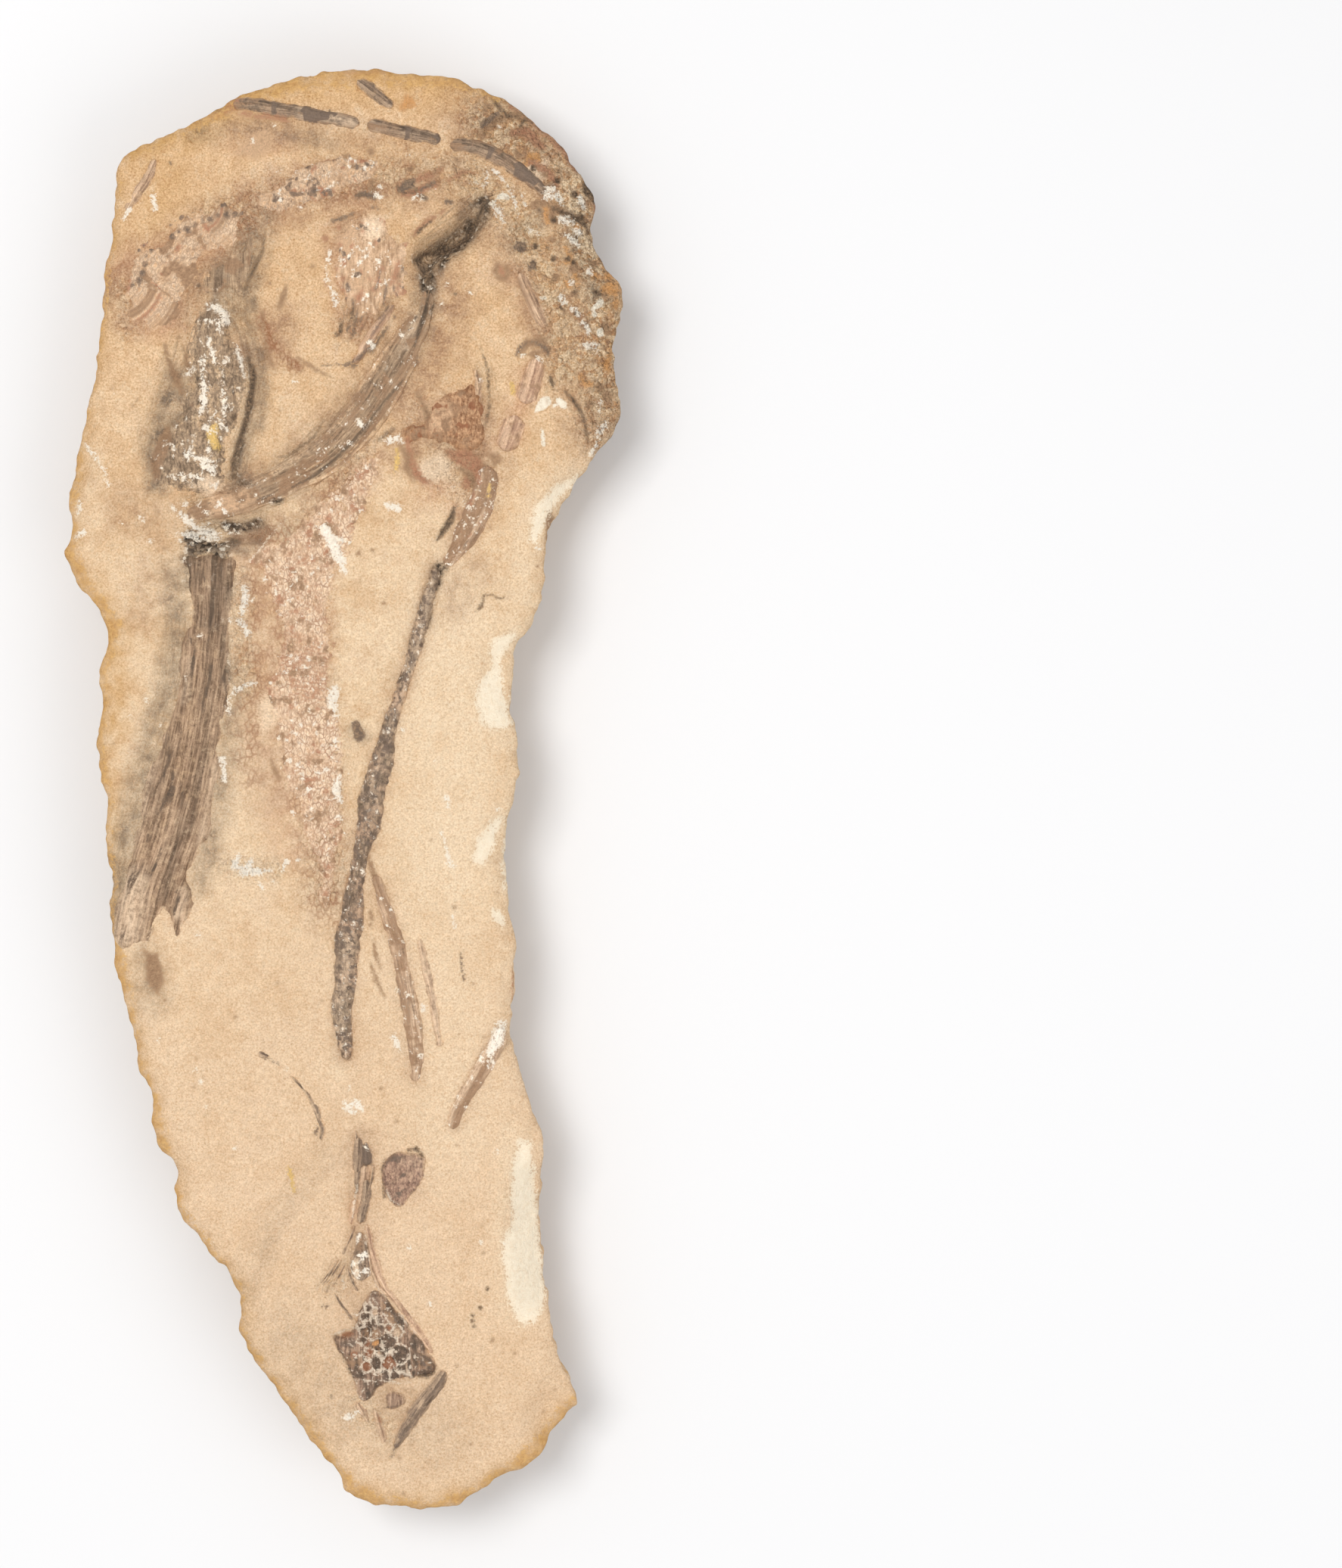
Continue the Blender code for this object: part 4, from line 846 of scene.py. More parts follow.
TONE_TURN = 40.0         # the stone warms up the slab from here, and cools down it
WARM_RUN = 160.0
COOL_RUN = 200.0
MARK_KINDS = (
    "rosy", "cream", "yellow", "orange", "red", "brown", "slate", "dark", "scar", "pearl", "chalk",
    "russet", "wall",
)


def mark_depths(x, y, kinds=MARK_KINDS):
    """How deep each point lies in each kind of crisp mark, in millimetres."""
    depths = {kind: np.full(x.shape, -FAR) for kind in kinds}
    for kind in kinds:
        for form, width, points in MARKS[kind]:
            found = area(x, y, points) if form == "area" else stroke(x, y, points, width)
            depths[kind] = np.maximum(depths[kind], found)
    for kind, spacing, share, radius, seed, outline in CRUMBS:
        if kind not in kinds:
            continue
        first, _, number = cells(x, y, spacing, seed)
        crumb = np.where(number < share, radius * (0.4 + 0.6 * number / share) - first, -FAR)
        depths[kind] = np.maximum(depths[kind], np.minimum(crumb, area(x, y, outline)))
    return depths


def tones(x, y):
    """The soft tones at each point, from 0 to 1."""
    found = {}
    for tone, strokes in TONES.items():
        value = np.zeros(x.shape)
        for strength, half_width, points in strokes:
            value = np.maximum(value, strength * fade(x, y, points, half_width))
        found[tone] = value
    return found


def fibrous(x, y):
    """How strongly the stone splits into fibres at each point, and where along and across them it lies."""
    amount, best = np.zeros(x.shape), np.zeros((len(x), 3))
    for half_width, strength, points in FIBRES:
        along, across = follow(x, y, [tuple(p) for p in smooth_line(points, FIBRE_STEP)])
        length = sum(math.dist(a, b) for a, b in zip(points, points[1:]))
        ends = step(np.minimum(along, length - along) / FIBRE_FADE)
        found = strength * ends * step(1.3 * (1 - np.abs(across) / half_width))
        better = found > amount
        amount = np.where(better, found, amount)
        # The shift keeps lines of different widths from sharing one pattern.
        shifted = across + 40 * half_width
        best[better] = np.stack([along, shifted, np.zeros(len(x))], axis=1)[better]
    return amount, best


def ground(x, y):
    """Everything but the crisp marks that the stone's colour needs at each point."""
    found = tones(x, y)
    found["warm"] = step((y - TONE_TURN) / WARM_RUN)
    found["cool"] = step((TONE_TURN - y) / COOL_RUN)
    found["fibrous"], found["strand"] = fibrous(x, y)
    return found


def mark_relief(depths):
    """The height that the crisp marks add."""
    total = 0.0
    for kind, values in depths.items():
        total = total + MARK_RISE[kind] * step((values + 0.3) / 1.1)
    return total


# ---------------------------------------------------------------- meshes
ROW_RATIO = 0.866        # how close the rows of a triangular lattice are, for points one apart
SCATTER = 0.18           # how far its points are moved, for points one apart


def new_object(name, verts, faces, attributes=None, material=None):
    """An object from vertex positions in metres, faces, and named values at its vertices."""
    mesh = bpy.data.meshes.new(name)
    mesh.from_pydata(verts.tolist(), [], faces)
    mesh.update()
    for key, values in (attributes or {}).items():
        if values.ndim == 2:
            layer = mesh.attributes.new(key, "FLOAT_VECTOR", "POINT")
            layer.data.foreach_set("vector", values.astype(np.float32).ravel())
        else:
            layer = mesh.attributes.new(key, "FLOAT", "POINT")
            layer.data.foreach_set("value", values.astype(np.float32))
    mesh.shade_smooth()
    obj = bpy.data.objects.new(name, mesh)
    bpy.context.scene.collection.objects.link(obj)
    if material:
        mesh.materials.append(material)
    return obj


def triangulate(rim, inner):
    """Triangles that face up over a closed anticlockwise rim and the points inside it."""
    points = [Vector(p) for p in np.concatenate([rim, inner])]
    found = delaunay_2d_cdt(points, [], [list(range(len(rim)))], 1, 1e-5)
    where = {old: new for new, olds in enumerate(found[3]) for old in olds}
    plan = np.array([tuple(p) for p in found[0]])
    return plan, [list(face) for face in found[2]], [where[i] for i in range(len(rim))]


def band(upper, lower):
    """The faces between two closed rings that hold as many points."""
    count = len(upper)
    return [[upper[i], lower[i], lower[(i + 1) % count], upper[(i + 1) % count]] for i in range(count)]


def outward(rim):
    """The direction out of a closed anticlockwise line at each of its points."""
    ahead = np.roll(rim, -1, axis=0) - np.roll(rim, 1, axis=0)
    return np.stack([ahead[:, 1], -ahead[:, 0]], axis=1) / np.hypot(ahead[:, 0], ahead[:, 1])[:, None]


def anticlockwise(outline):
    """The outline's points in anticlockwise order."""
    doubled = sum(a[0] * b[1] - b[0] * a[1] for a, b in zip(outline, outline[1:] + outline[:1]))
    return outline if doubled > 0 else outline[::-1]


def lattice_inside(outline, spacing, margin):
    """A triangular lattice of points that lie inside the outline by at least the margin."""
    xs = [p[0] for p in outline]
    ys = [p[1] for p in outline]
    row_levels = np.arange(min(ys), max(ys), spacing * ROW_RATIO)
    columns = np.arange(min(xs) - spacing, max(xs) + spacing, spacing)
    x, y = np.meshgrid(columns, row_levels)
    x = x + (np.arange(len(row_levels)) % 2)[:, None] * spacing / 2
    x, y = x.ravel(), y.ravel()
    x = x + SCATTER * spacing * noise(x, y, spacing * 1.3, 91)
    y = y + SCATTER * spacing * noise(x, y, spacing * 1.3, 92)
    kept = area(x, y, outline, spacing) > margin
    return np.stack([x[kept], y[kept]], axis=1)


# ---------------------------------------------------------------- shaders
def linear(red, green, blue):
    """An sRGB colour from 0 to 255 as the linear colour that shaders take."""
    result = []
    for value in (red, green, blue):
        value /= 255
        result.append(value / 12.92 if value <= 0.04045 else ((value + 0.055) / 1.055) ** 2.4)
    return (*result, 1.0)


class Shader:
    """A short way to write a material's nodes. Sizes are millimetres."""

    def __init__(self, name):
        self.material = bpy.data.materials.new(name)
        self.material.use_nodes = True
        self.tree = self.material.node_tree
        self.surface = self.tree.nodes["Principled BSDF"]
        self.place = self.tree.nodes.new("ShaderNodeTexCoord").outputs["Object"]

    def node(self, kind, inputs, **settings):
        made = self.tree.nodes.new(kind)
        for key, value in settings.items():
            setattr(made, key, value)
        for key, value in inputs.items():
            socket = made.inputs[key]
            if isinstance(value, bpy.types.NodeSocket):
                self.tree.links.new(value, socket)
            elif value is not None:
                socket.default_value = value
        return made

    def value(self, name):
        return self.node("ShaderNodeAttribute", {}, attribute_name=name).outputs["Fac"]

    def vector(self, name, scale=(1, 1, 1)):
        source = self.node("ShaderNodeAttribute", {}, attribute_name=name).outputs["Vector"]
        return self.node("ShaderNodeMapping", {"Vector": source, "Scale": scale}).outputs["Vector"]

    def noise(self, size, detail=4.0, rough=0.55, at=None, bend=0.0):
        scale = 1 / (size * MM) if at is None else 1 / size
        inputs = {"Vector": at or self.place, "Scale": scale, "Detail": detail, "Roughness": rough,
                  "Distortion": bend}
        return self.node("ShaderNodeTexNoise", inputs).outputs["Fac"]

    def seams(self, size, turn, squash):
        """How far the seams between cells are, turned about the face and longer one way than the other."""
        settings = {"Vector": self.place, "Rotation": (0, 0, turn), "Scale": (1, squash, 1)}
        turned = self.node("ShaderNodeMapping", settings).outputs["Vector"]
        inputs = {"Vector": turned, "Scale": 1 / (size * MM)}
        return self.node("ShaderNodeTexVoronoi", inputs, feature="DISTANCE_TO_EDGE").outputs["Distance"]

    def math(self, operation, a, b=0.0, c=0.0, clamp=False):
        made = self.node("ShaderNodeMath", {0: a, 1: b, 2: c}, operation=operation, use_clamp=clamp)
        return made.outputs[0]

    def times(self, a, b, clamp=False):
        return self.math("MULTIPLY", a, b, clamp=clamp)

    def cells(self, size, **more):
        """Cells about one size across, and a number of each one's own from its colour."""
        found = self.node("ShaderNodeTexVoronoi", {"Vector": self.place, "Scale": 1 / (size * MM), **more})
        own = self.node("ShaderNodeSeparateColor", {"Color": found.outputs["Color"]})
        return found.outputs["Distance"], own.outputs

    def span(self, value, low, high, to_low=0.0, to_high=1.0):
        inputs = {"Value": value, "From Min": low, "From Max": high, "To Min": to_low, "To Max": to_high}
        return self.node("ShaderNodeMapRange", inputs, clamp=True).outputs[0]

    def edge(self, depth, grain, ragged, soft=0.5):
        """A mask with a ragged edge from a depth inside a mark, in millimetres; grain is a noise."""
        shifted = self.math("MULTIPLY_ADD", self.math("SUBTRACT", grain, 0.5), ragged * 5, depth)
        return self.span(shifted, -soft / 2, soft / 2)

    def mix(self, amount, a, b, blend="MIX"):
        made = self.node("ShaderNodeMix", {}, data_type="RGBA", blend_type=blend)
        for index, value in ((0, amount), (6, a), (7, b)):
            socket = made.inputs[index]
            if isinstance(value, bpy.types.NodeSocket):
                self.tree.links.new(value, socket)
            else:
                socket.default_value = value
        return made.outputs[2]

    def ramp(self, value, *stops):
        made = self.node("ShaderNodeValToRGB", {"Fac": value})
        band = made.color_ramp
        while len(band.elements) < len(stops):
            band.elements.new(0.5)
        for element, (position, colour) in zip(band.elements, stops):
            element.position = position
            element.color = colour
        return made.outputs["Color"]

    def tint(self, colour, value):
        """The colour made darker or lighter by a number around 1."""
        return self.mix(1.0, colour, value, "MULTIPLY")

    def bump(self, height, strength, depth, normal=None):
        inputs = {"Height": height, "Strength": strength, "Distance": depth * MM, "Normal": normal}
        return self.node("ShaderNodeBump", inputs).outputs["Normal"]

    def finish(self, colour, roughness, normal, specular=0.3):
        self.tree.links.new(colour, self.surface.inputs["Base Color"])
        if isinstance(roughness, bpy.types.NodeSocket):
            self.tree.links.new(roughness, self.surface.inputs["Roughness"])
        else:
            self.surface.inputs["Roughness"].default_value = roughness
        self.tree.links.new(normal, self.surface.inputs["Normal"])
        self.surface.inputs["Specular IOR Level"].default_value = specular
        return self.material


# Colour, raggedness and softness of the edge of each kind of crisp mark.
CRISP_COLOURS = {
    "rosy": (linear(206, 170, 136), 1.4, 2.6), "cream": (linear(238, 211, 180), 1.2, 2.6),
    "yellow": (linear(226, 190, 118), 0.9, 0.6), "orange": (linear(206, 152, 98), 1.0, 1.0),
    "red": (linear(176, 128, 100), 1.0, 1.2), "brown": (linear(158, 126, 98), 0.8, 1.2),
    "slate": (linear(118, 101, 88), 0.7, 0.6), "dark": (linear(92, 78, 66), 0.6, 0.8),
    "scar": (linear(252, 238, 214), 1.6, 1.2), "chalk": (linear(248, 240, 226), 1.2, 0.5),
    "pearl": (linear(250, 240, 220), 0.35, 0.35), "wall": (linear(232, 216, 194), 0.6, 0.35),
    "russet": (linear(146, 98, 70), 0.6, 0.9),
}
PALE_MARKS = ("chalk", "pearl", "scar", "wall")
# The kinds that are drawn over bones too, in order.
BONE_MARKS = (
    "rosy", "cream", "orange", "red", "brown", "slate", "dark", "yellow", "pearl", "chalk", "russet",
    "wall",
)
# The ochre crust along the rim, with its width at each point.
CRUST = [
    (-76, 219, 4), (-66, 224, 6), (-47, 232, 7), (-34, 239, 8), (-12, 246, 10), (5, 247, 12),
    (20, 247, 10), (38, 245, 7), (52, 238, 3),
]
LEFT_CRUST = [
    (-79, 208, 2.6), (-84, 165, 2.4), (-90, 130, 2.6), (-95, 105, 5), (-96, 82, 6), (-91, 68, 9),
    (-83, 55, 12), (-84, 40, 5), (-86, 17, 4), (-82, -10, 3), (-81, -40, 3.4), (-77, -65, 4),
    (-72, -95, 4), (-66, -112, 6), (-62, -128, 3.4), (-58, -145, 4), (-47, -160, 4), (-37, -172, 4),
    (-36, -190, 4), (-25, -206, 5), (-12, -224, 6), (-2, -236, 4), (10, -246, 5), (28, -248, 4),
    (42, -245, 5), (58, -235, 6), (70, -224, 6), (79, -212, 4),
]


class Grains:
    """The noises that every material of the slab shares."""

    def __init__(self, s):
        self.fine = s.noise(0.7, 5.0, 0.85)
        self.small = s.noise(1.5, 6.0, 0.8)
        self.middle = s.noise(6.0, 6.0, 0.75)
        self.blotch = s.noise(15.0, 6.0, 0.75)
        self.ragged = s.math("ADD", s.times(self.small, 0.65), s.times(self.middle, 0.35))


# Colour and strength of each soft tone.
SOFT_COLOURS = (
    ("ochre", linear(208, 165, 110), 0.9), ("pale", linear(238, 214, 182), 0.9),
    ("pink", linear(206, 160, 130), 0.9), ("umber", linear(174, 138, 108), 1.2),
    # grey is painted shade in the hollows and under the ledges
    ("grey", linear(138, 120, 101), 1.05),
)


# What the dark and the light grains multiply the stone's colour by: the grain's own colour, with painted
# shade on the low grains and painted light on the high ones, as the same noise sets the bump.
GRAIN_SHADE = (0.69, 0.54, 0.40, 1.0)
GRAIN_LIGHT = (1.27, 1.33, 1.42, 1.0)


def stone_colour(s, grains):
    """The colour of bare stone, with its soft tones, its crumbly places and its streaks; and its relief."""
    broad = s.noise(48, 3.0)
    strand = s.noise(1.3, 5.0, 0.8, s.vector("strand", (0.11, 1.0, 1.0)))
    from_crumb, crumb_number = s.cells(2.6, Detail=1.5, Roughness=0.7)
    from_speck, speck_number = s.cells(1.1)

    colour = s.mix(s.span(broad, 0.35, 0.65), linear(230, 202, 167), linear(238, 212, 178))
    colour = s.mix(s.times(s.value("cool"), 0.8), colour, linear(230, 200, 167))
    colour = s.mix(s.times(s.value("warm"), 0.9), colour, linear(224, 188, 147))
    uneven = s.math("MULTIPLY_ADD", s.value("cool"), -0.65, 1.0)
    for grain, low, high, to_low, to_high, tint in (
            (grains.blotch, 0.46, 0.60, 0, 0.55, linear(208, 168, 124)),
            (grains.blotch, 0.30, 0.46, 0.5, 0, linear(212, 182, 154)),
            (grains.middle, 0.50, 0.64, 0, 0.45, linear(200, 164, 128)),
            (grains.middle, 0.34, 0.46, 0.4, 0, linear(236, 212, 180))):
        colour = s.mix(s.times(s.span(grain, low, high, to_low, to_high), uneven), colour, tint)

    worn = s.times(s.span(grains.middle, 0.40, 0.58, 0.45, 1.3), s.span(grains.small, 0.38, 0.60, 1.5, 0.45))
    for tone, tint, strength in SOFT_COLOURS:
        amount = s.times(s.times(s.value(tone), strength), worn, clamp=True)
        colour = s.mix(amount, colour, tint)

    crumb = s.ramp(
        crumb_number[0],
        (0.08, linear(112, 88, 72)), (0.25, linear(164, 126, 98)), (0.45, linear(204, 162, 124)),
        (0.60, linear(196, 144, 96)), (0.78, linear(222, 182, 134)), (0.94, linear(244, 220, 184)))
    crumbly = s.times(s.value("rubble"), s.span(grains.small, 0.40, 0.58, 0.15, 1.0))
    crumbly = s.times(crumbly, s.span(grains.blotch, 0.38, 0.56, 0.45, 1.0))
    colour = s.mix(crumbly, colour, crumb)

    # dark grit specks, with painted shadow, where the grit-and-shadow tone lies
    grit_and_shadow_colour = s.ramp(
        speck_number[1],
        (0.0, linear(62, 54, 46)), (0.35, linear(92, 80, 68)), (0.65, linear(128, 112, 95)),
        (0.86, linear(160, 140, 118)), (0.96, linear(222, 210, 192)))
    shadowed_grit = s.times(s.value("grit_and_shadow"), s.span(grains.middle, 0.36, 0.58, 0.35, 1.25), clamp=True)
    colour = s.mix(s.span(s.math("MULTIPLY_ADD", grains.small, 0.5, shadowed_grit), 0.45, 0.95), colour, grit_and_shadow_colour)

    fibrous = s.times(s.value("fibrous"), s.span(grains.small, 0.40, 0.58, 0.4, 1))
    dark_strand = s.times(fibrous, s.span(strand, 0.50, 0.62, 0, 0.8))
    pale_strand = s.times(fibrous, s.span(strand, 0.36, 0.47, 0.5, 0))
    colour = s.mix(dark_strand, colour, linear(118, 95, 76))
    colour = s.mix(pale_strand, colour, linear(226, 196, 162))

    print_seam = s.span(s.seams(1.9, 0.35, 0.6), 0.03, 0.20, 0.9, 0)
    print_seam = s.times(print_seam, s.span(grains.middle, 0.40, 0.56, 0.15, 1))
    colour = s.mix(s.times(s.value("scaly"), print_seam), colour, linear(166, 124, 94))

    grainy = s.math("MULTIPLY_ADD", s.value("warm"), 0.35, 0.7, clamp=True)
    shaded_grain = s.times(s.span(grains.fine, 0.36, 0.50, 1, 0), grainy)
    lit_grain = s.times(s.span(grains.fine, 0.50, 0.64, 0, 1), grainy)
    colour = s.mix(shaded_grain, colour, s.tint(colour, GRAIN_SHADE))
    colour = s.mix(lit_grain, colour, s.tint(colour, GRAIN_LIGHT))
    # darker in the small bumps' hollows and lighter on their tops: mottling with painted shade and painted
    # light, and brown specks in the lowest places
    colour = s.tint(colour, s.span(grains.small, 0.30, 0.70, 0.88, 1.12))
    colour = s.mix(s.span(grains.small, 0.30, 0.36, 0.5, 0), colour, linear(170, 128, 88))

    height = s.times(s.value("fibrous"), strand)
    height = s.math("MULTIPLY_ADD", s.times(s.value("rubble"), from_crumb), -2.2, height)
    height = s.math("MULTIPLY_ADD", s.times(s.value("grit_and_shadow"), from_speck), -1.0, height)
    return colour, height


def add_marks(s, colour, grains, kinds, body):
    """The colour with the crisp marks of some kinds on it, worn through in places to what carries them."""
    for mark in kinds:
        tint, ragged, soft = CRISP_COLOURS[mark]
        if mark not in PALE_MARKS:
            # fine grain over the mark, darker where the bump is low and lighter where it is high: painted
            # shade and painted light
            tint = s.tint(tint, s.span(grains.fine, 0.32, 0.68, 0.70, 1.30))
        broken = s.math("MULTIPLY_ADD", s.math("SUBTRACT", grains.fine, 0.5), 0.5, grains.ragged)
        mask = s.edge(s.value(mark), broken, ragged * 1.6, soft)
        if mark == "chalk":
            mask = s.times(mask, s.span(s.math("ADD", grains.fine, grains.small), 0.82, 0.96, 0.2, 1))
        worn = linear(238, 214, 182) if mark in ("chalk", "scar") else body
        colour = s.mix(mask, colour, s.mix(s.span(grains.small, 0.46, 0.62, 0, 0.5), tint, worn))
    return colour


def stone_material():
    s = Shader("limestone")
    grains = Grains(s)
    colour, relief = stone_colour(s, grains)
    colour = add_marks(s, colour, grains, CRISP_COLOURS, linear(200, 166, 130))
    crust = s.edge(s.value("rim"), grains.ragged, 3.0, 1.4)
    rust = s.mix(s.span(grains.small, 0.35, 0.65), linear(186, 134, 80), linear(228, 186, 122))
    colour = s.mix(s.times(crust, s.span(grains.middle, 0.40, 0.60, 0.2, 0.9)), colour, rust)
    normal = s.bump(grains.middle, 0.6, 1.3)
    normal = s.bump(grains.small, 0.8, 0.6, normal)
    normal = s.bump(grains.fine, 0.8, 0.1, normal)
    normal = s.bump(relief, 0.9, 1.2, normal)
    return s.finish(colour, 0.92, normal, 0.12)


def bone_material(name, deep, body, light, dusty=0.5, stretch=0.09, strand_size=0.9, stain=None,
                  stained=0.4, blend=0.45, net=None):
    """Mineralised bone: fibres along it, dark pits and light crests painted as shade and light over its
    bumps, worn pale places, and stone on it and over its edge.
    """
    s = Shader(name)
    grains = Grains(s)
    strand = s.noise(strand_size, 5.0, 0.7, s.vector("fibre", (stretch, 1.0, 1.0)))
    groove = s.noise(3.4 * strand_size, 4.0, 0.75, s.vector("fibre", (0.5 * stretch, 1.0, 1.0)))
    stone, _ = stone_colour(s, grains)
    colour = s.ramp(strand, (0.36, deep), (0.50, body), (0.64, light))
    colour = s.mix(s.span(groove, 0.36, 0.47, 0.8, 0), colour, deep)
    colour = s.mix(s.span(groove, 0.53, 0.64, 0, 0.6), colour, light)
    colour = s.mix(s.span(grains.middle, 0.52, 0.68, 0, 0.6), colour, light)
    colour = s.mix(s.span(grains.middle, 0.30, 0.46, 0.65, 0), colour, deep)
    if stain:
        colour = s.mix(s.span(s.noise(12, 5.0, 0.7), 0.48, 0.62, 0, stained), colour, stain)
    # darker in the small and fine bumps' lows and lighter on their highs: the bone's mottling with painted
    # shade in its pits and painted light on its crests
    colour = s.mix(s.span(grains.small, 0.32, 0.44, 0.7, 0), colour, deep)
    colour = s.mix(s.span(grains.small, 0.56, 0.68, 0, 0.5), colour, light)
    colour = s.tint(colour, s.span(grains.fine, 0.30, 0.70, 0.72, 1.28))
    # painted shadow and dark grit over the bone where the grit-and-shadow tone lies
    shade = s.times(s.value("grit_and_shadow"), s.span(groove, 0.40, 0.58, 1.0, 0.35))
    colour = s.mix(shade, colour, linear(84, 70, 58))
    worn = s.times(s.value("pale"), s.span(grains.ragged, 0.42, 0.58, 0.3, 1.0))
    colour = s.mix(worn, colour, linear(228, 200, 170))
    dust = s.times(s.span(s.noise(3.2, 6.0, 0.8), 0.50, 0.60), dusty)
    if net:
        size, tint, strength = net
        from_seam = s.seams(size, 0.5, 0.62)
        shown = s.span(grains.middle, 0.40, 0.54, 0.2, 1)
        lip = s.times(s.span(from_seam, 0.34, 0.16, 0, 0.8 * strength), shown)
        colour = s.mix(lip, colour, linear(246, 226, 200))
        seam = s.times(s.span(from_seam, 0.02, 0.14, strength, 0), shown)
        colour = s.mix(seam, colour, tint)
    rim = s.edge(s.math("SUBTRACT", blend * 0.8, s.value("edge")), grains.ragged, blend, 1.0)
    colour = s.mix(s.math("MAXIMUM", dust, rim), colour, stone)
    colour = add_marks(s, colour, grains, BONE_MARKS, body)
    # lighter on the fibres' crests and darker in their furrows, as their bump is: painted light and shade
    # over the fibres' own colour
    colour = s.tint(colour, s.span(strand, 0.36, 0.64, 0.86, 1.12))
    normal = s.bump(strand, 0.9, 0.45)
    normal = s.bump(grains.small, 0.8, 0.4, normal)
    normal = s.bump(grains.fine, 0.7, 0.16, normal)
    return s.finish(colour, s.span(grains.small, 0.3, 0.7, 0.75, 0.5), normal, 0.2)


# ---------------------------------------------------------------- the stone
STONE_SPACING = 1.05
RIM_SPACING = 1.0
SIDE_LEVELS = 15
BASE_SPACING = 6.0
BASE_MARGIN = 4.0
BASE_OCHRE = 0.4         # how ochre the flat is


def stone_rim():
    """The slab's ragged rim, anticlockwise."""
    rim = smooth_line(anticlockwise(OUTLINE), RIM_SPACING, closed=True)
    x, y = rim[:, 0], rim[:, 1]
    chips = 0.6 * fractal(x, y, 6.0, 3, 41) + 0.45 * noise(x, y, 2.6, 43)
    chips -= 0.6 * np.abs(noise(x, y, 11.0, 42))
    return rim + outward(rim) * chips[:, None]


def stone_relief(x, y, from_rim, depths):
    """The face with its grain: granular swells, bedding steps, a rough rim and the marks' own relief."""
    height = face_height(x, y, from_rim)
    height += 0.30 * fractal(x, y, 11.0, 2, 7)
    height += 0.10 * fractal(x, y, 4.0, 2, 8)
    bed = 3.0 * fractal(x, y, 46.0, 3, 10)
    height += 0.30 * (np.floor(bed) + step((bed - np.floor(bed) - 0.5) * 9 + 0.5) - bed)
    rough = step((10 - from_rim) / 10)
    height += rough * 0.8 * fractal(x, y, 4.0, 3, 9)
    return height + mark_relief(depths)


def crust_depth(x, y):
    """How deep each point lies in the ochre crust, in millimetres."""
    return np.maximum(stroke(x, y, CRUST), stroke(x, y, LEFT_CRUST))


def side_point_rings(rim, rim_height):
    """Rings of points down the slab's side, from the rim to the flat, in plan millimetres and heights."""
    fractions, gentle_insets, steep_insets = np.array(SIDE_RINGS).T
    x, y = rim[:, 0], rim[:, 1]
    target_y = np.clip(y, *BACK_ENDS)
    target_x = np.interp(target_y, *np.array(BACK_LINE).T)
    out = np.stack([x - target_x, y - target_y], axis=1)
    out /= np.hypot(out[:, 0], out[:, 1])[:, None]
    steep = step(0.5 + 0.7 * out[:, 0] + 0.35 * out[:, 1])
    insets = gentle_insets[:, None] * (1 - steep) + steep_insets[:, None] * steep
    around = np.arctan2(out[:, 1], out[:, 0]) * 60
    rings = []
    for level in range(1, SIDE_LEVELS + 1):
        t = level / SIDE_LEVELS * (len(SIDE_RINGS) - 1)
        i = min(int(t), len(SIDE_RINGS) - 2)
        blend = t - i
        part = fractions[i] * (1 - blend) + fractions[i + 1] * blend
        inset = insets[i] * (1 - blend) + insets[i + 1] * blend
        move = inset * np.hypot(x - target_x, y - target_y)
        z = rim_height * part
        if level < SIDE_LEVELS:
            bulge = math.sin(math.pi * min(1.0, part + 0.15))
            lump = 1.6 * fractal(x + part * 30, y - part * 34, 15.0, 3, 61)
            lump += 0.5 * fractal(x + part * 40, y + part * 36, 3.5, 3, 62)
            move -= lump * bulge * 0.8
            z += 0.7 * bulge * fractal(around, y + part * 50, 9.0, 2, 63)
        rings.append((x - out[:, 0] * move, y - out[:, 1] * move, np.maximum(z, 0.0)))
    return rings


def stone_face(outline, x, y):
    """The face's heights, its crisp marks and its soft tones."""
    depths = mark_depths(x, y)
    z = stone_relief(x, y, np.maximum(0.0, area(x, y, outline)), depths)
    soft = ground(x, y)
    first, _, _ = cells(x, y, 4.2, 13)
    z += soft["rubble"] * (0.7 * (step(1.4 - first / 2.6) - 0.5) + 0.5 * fractal(x, y, 6.0, 3, 10))
    z += soft["fibrous"] * 0.35 * fractal(soft["strand"][:, 0] * 0.1, soft["strand"][:, 1], 1.6, 3, 12)
    return z, depths, soft


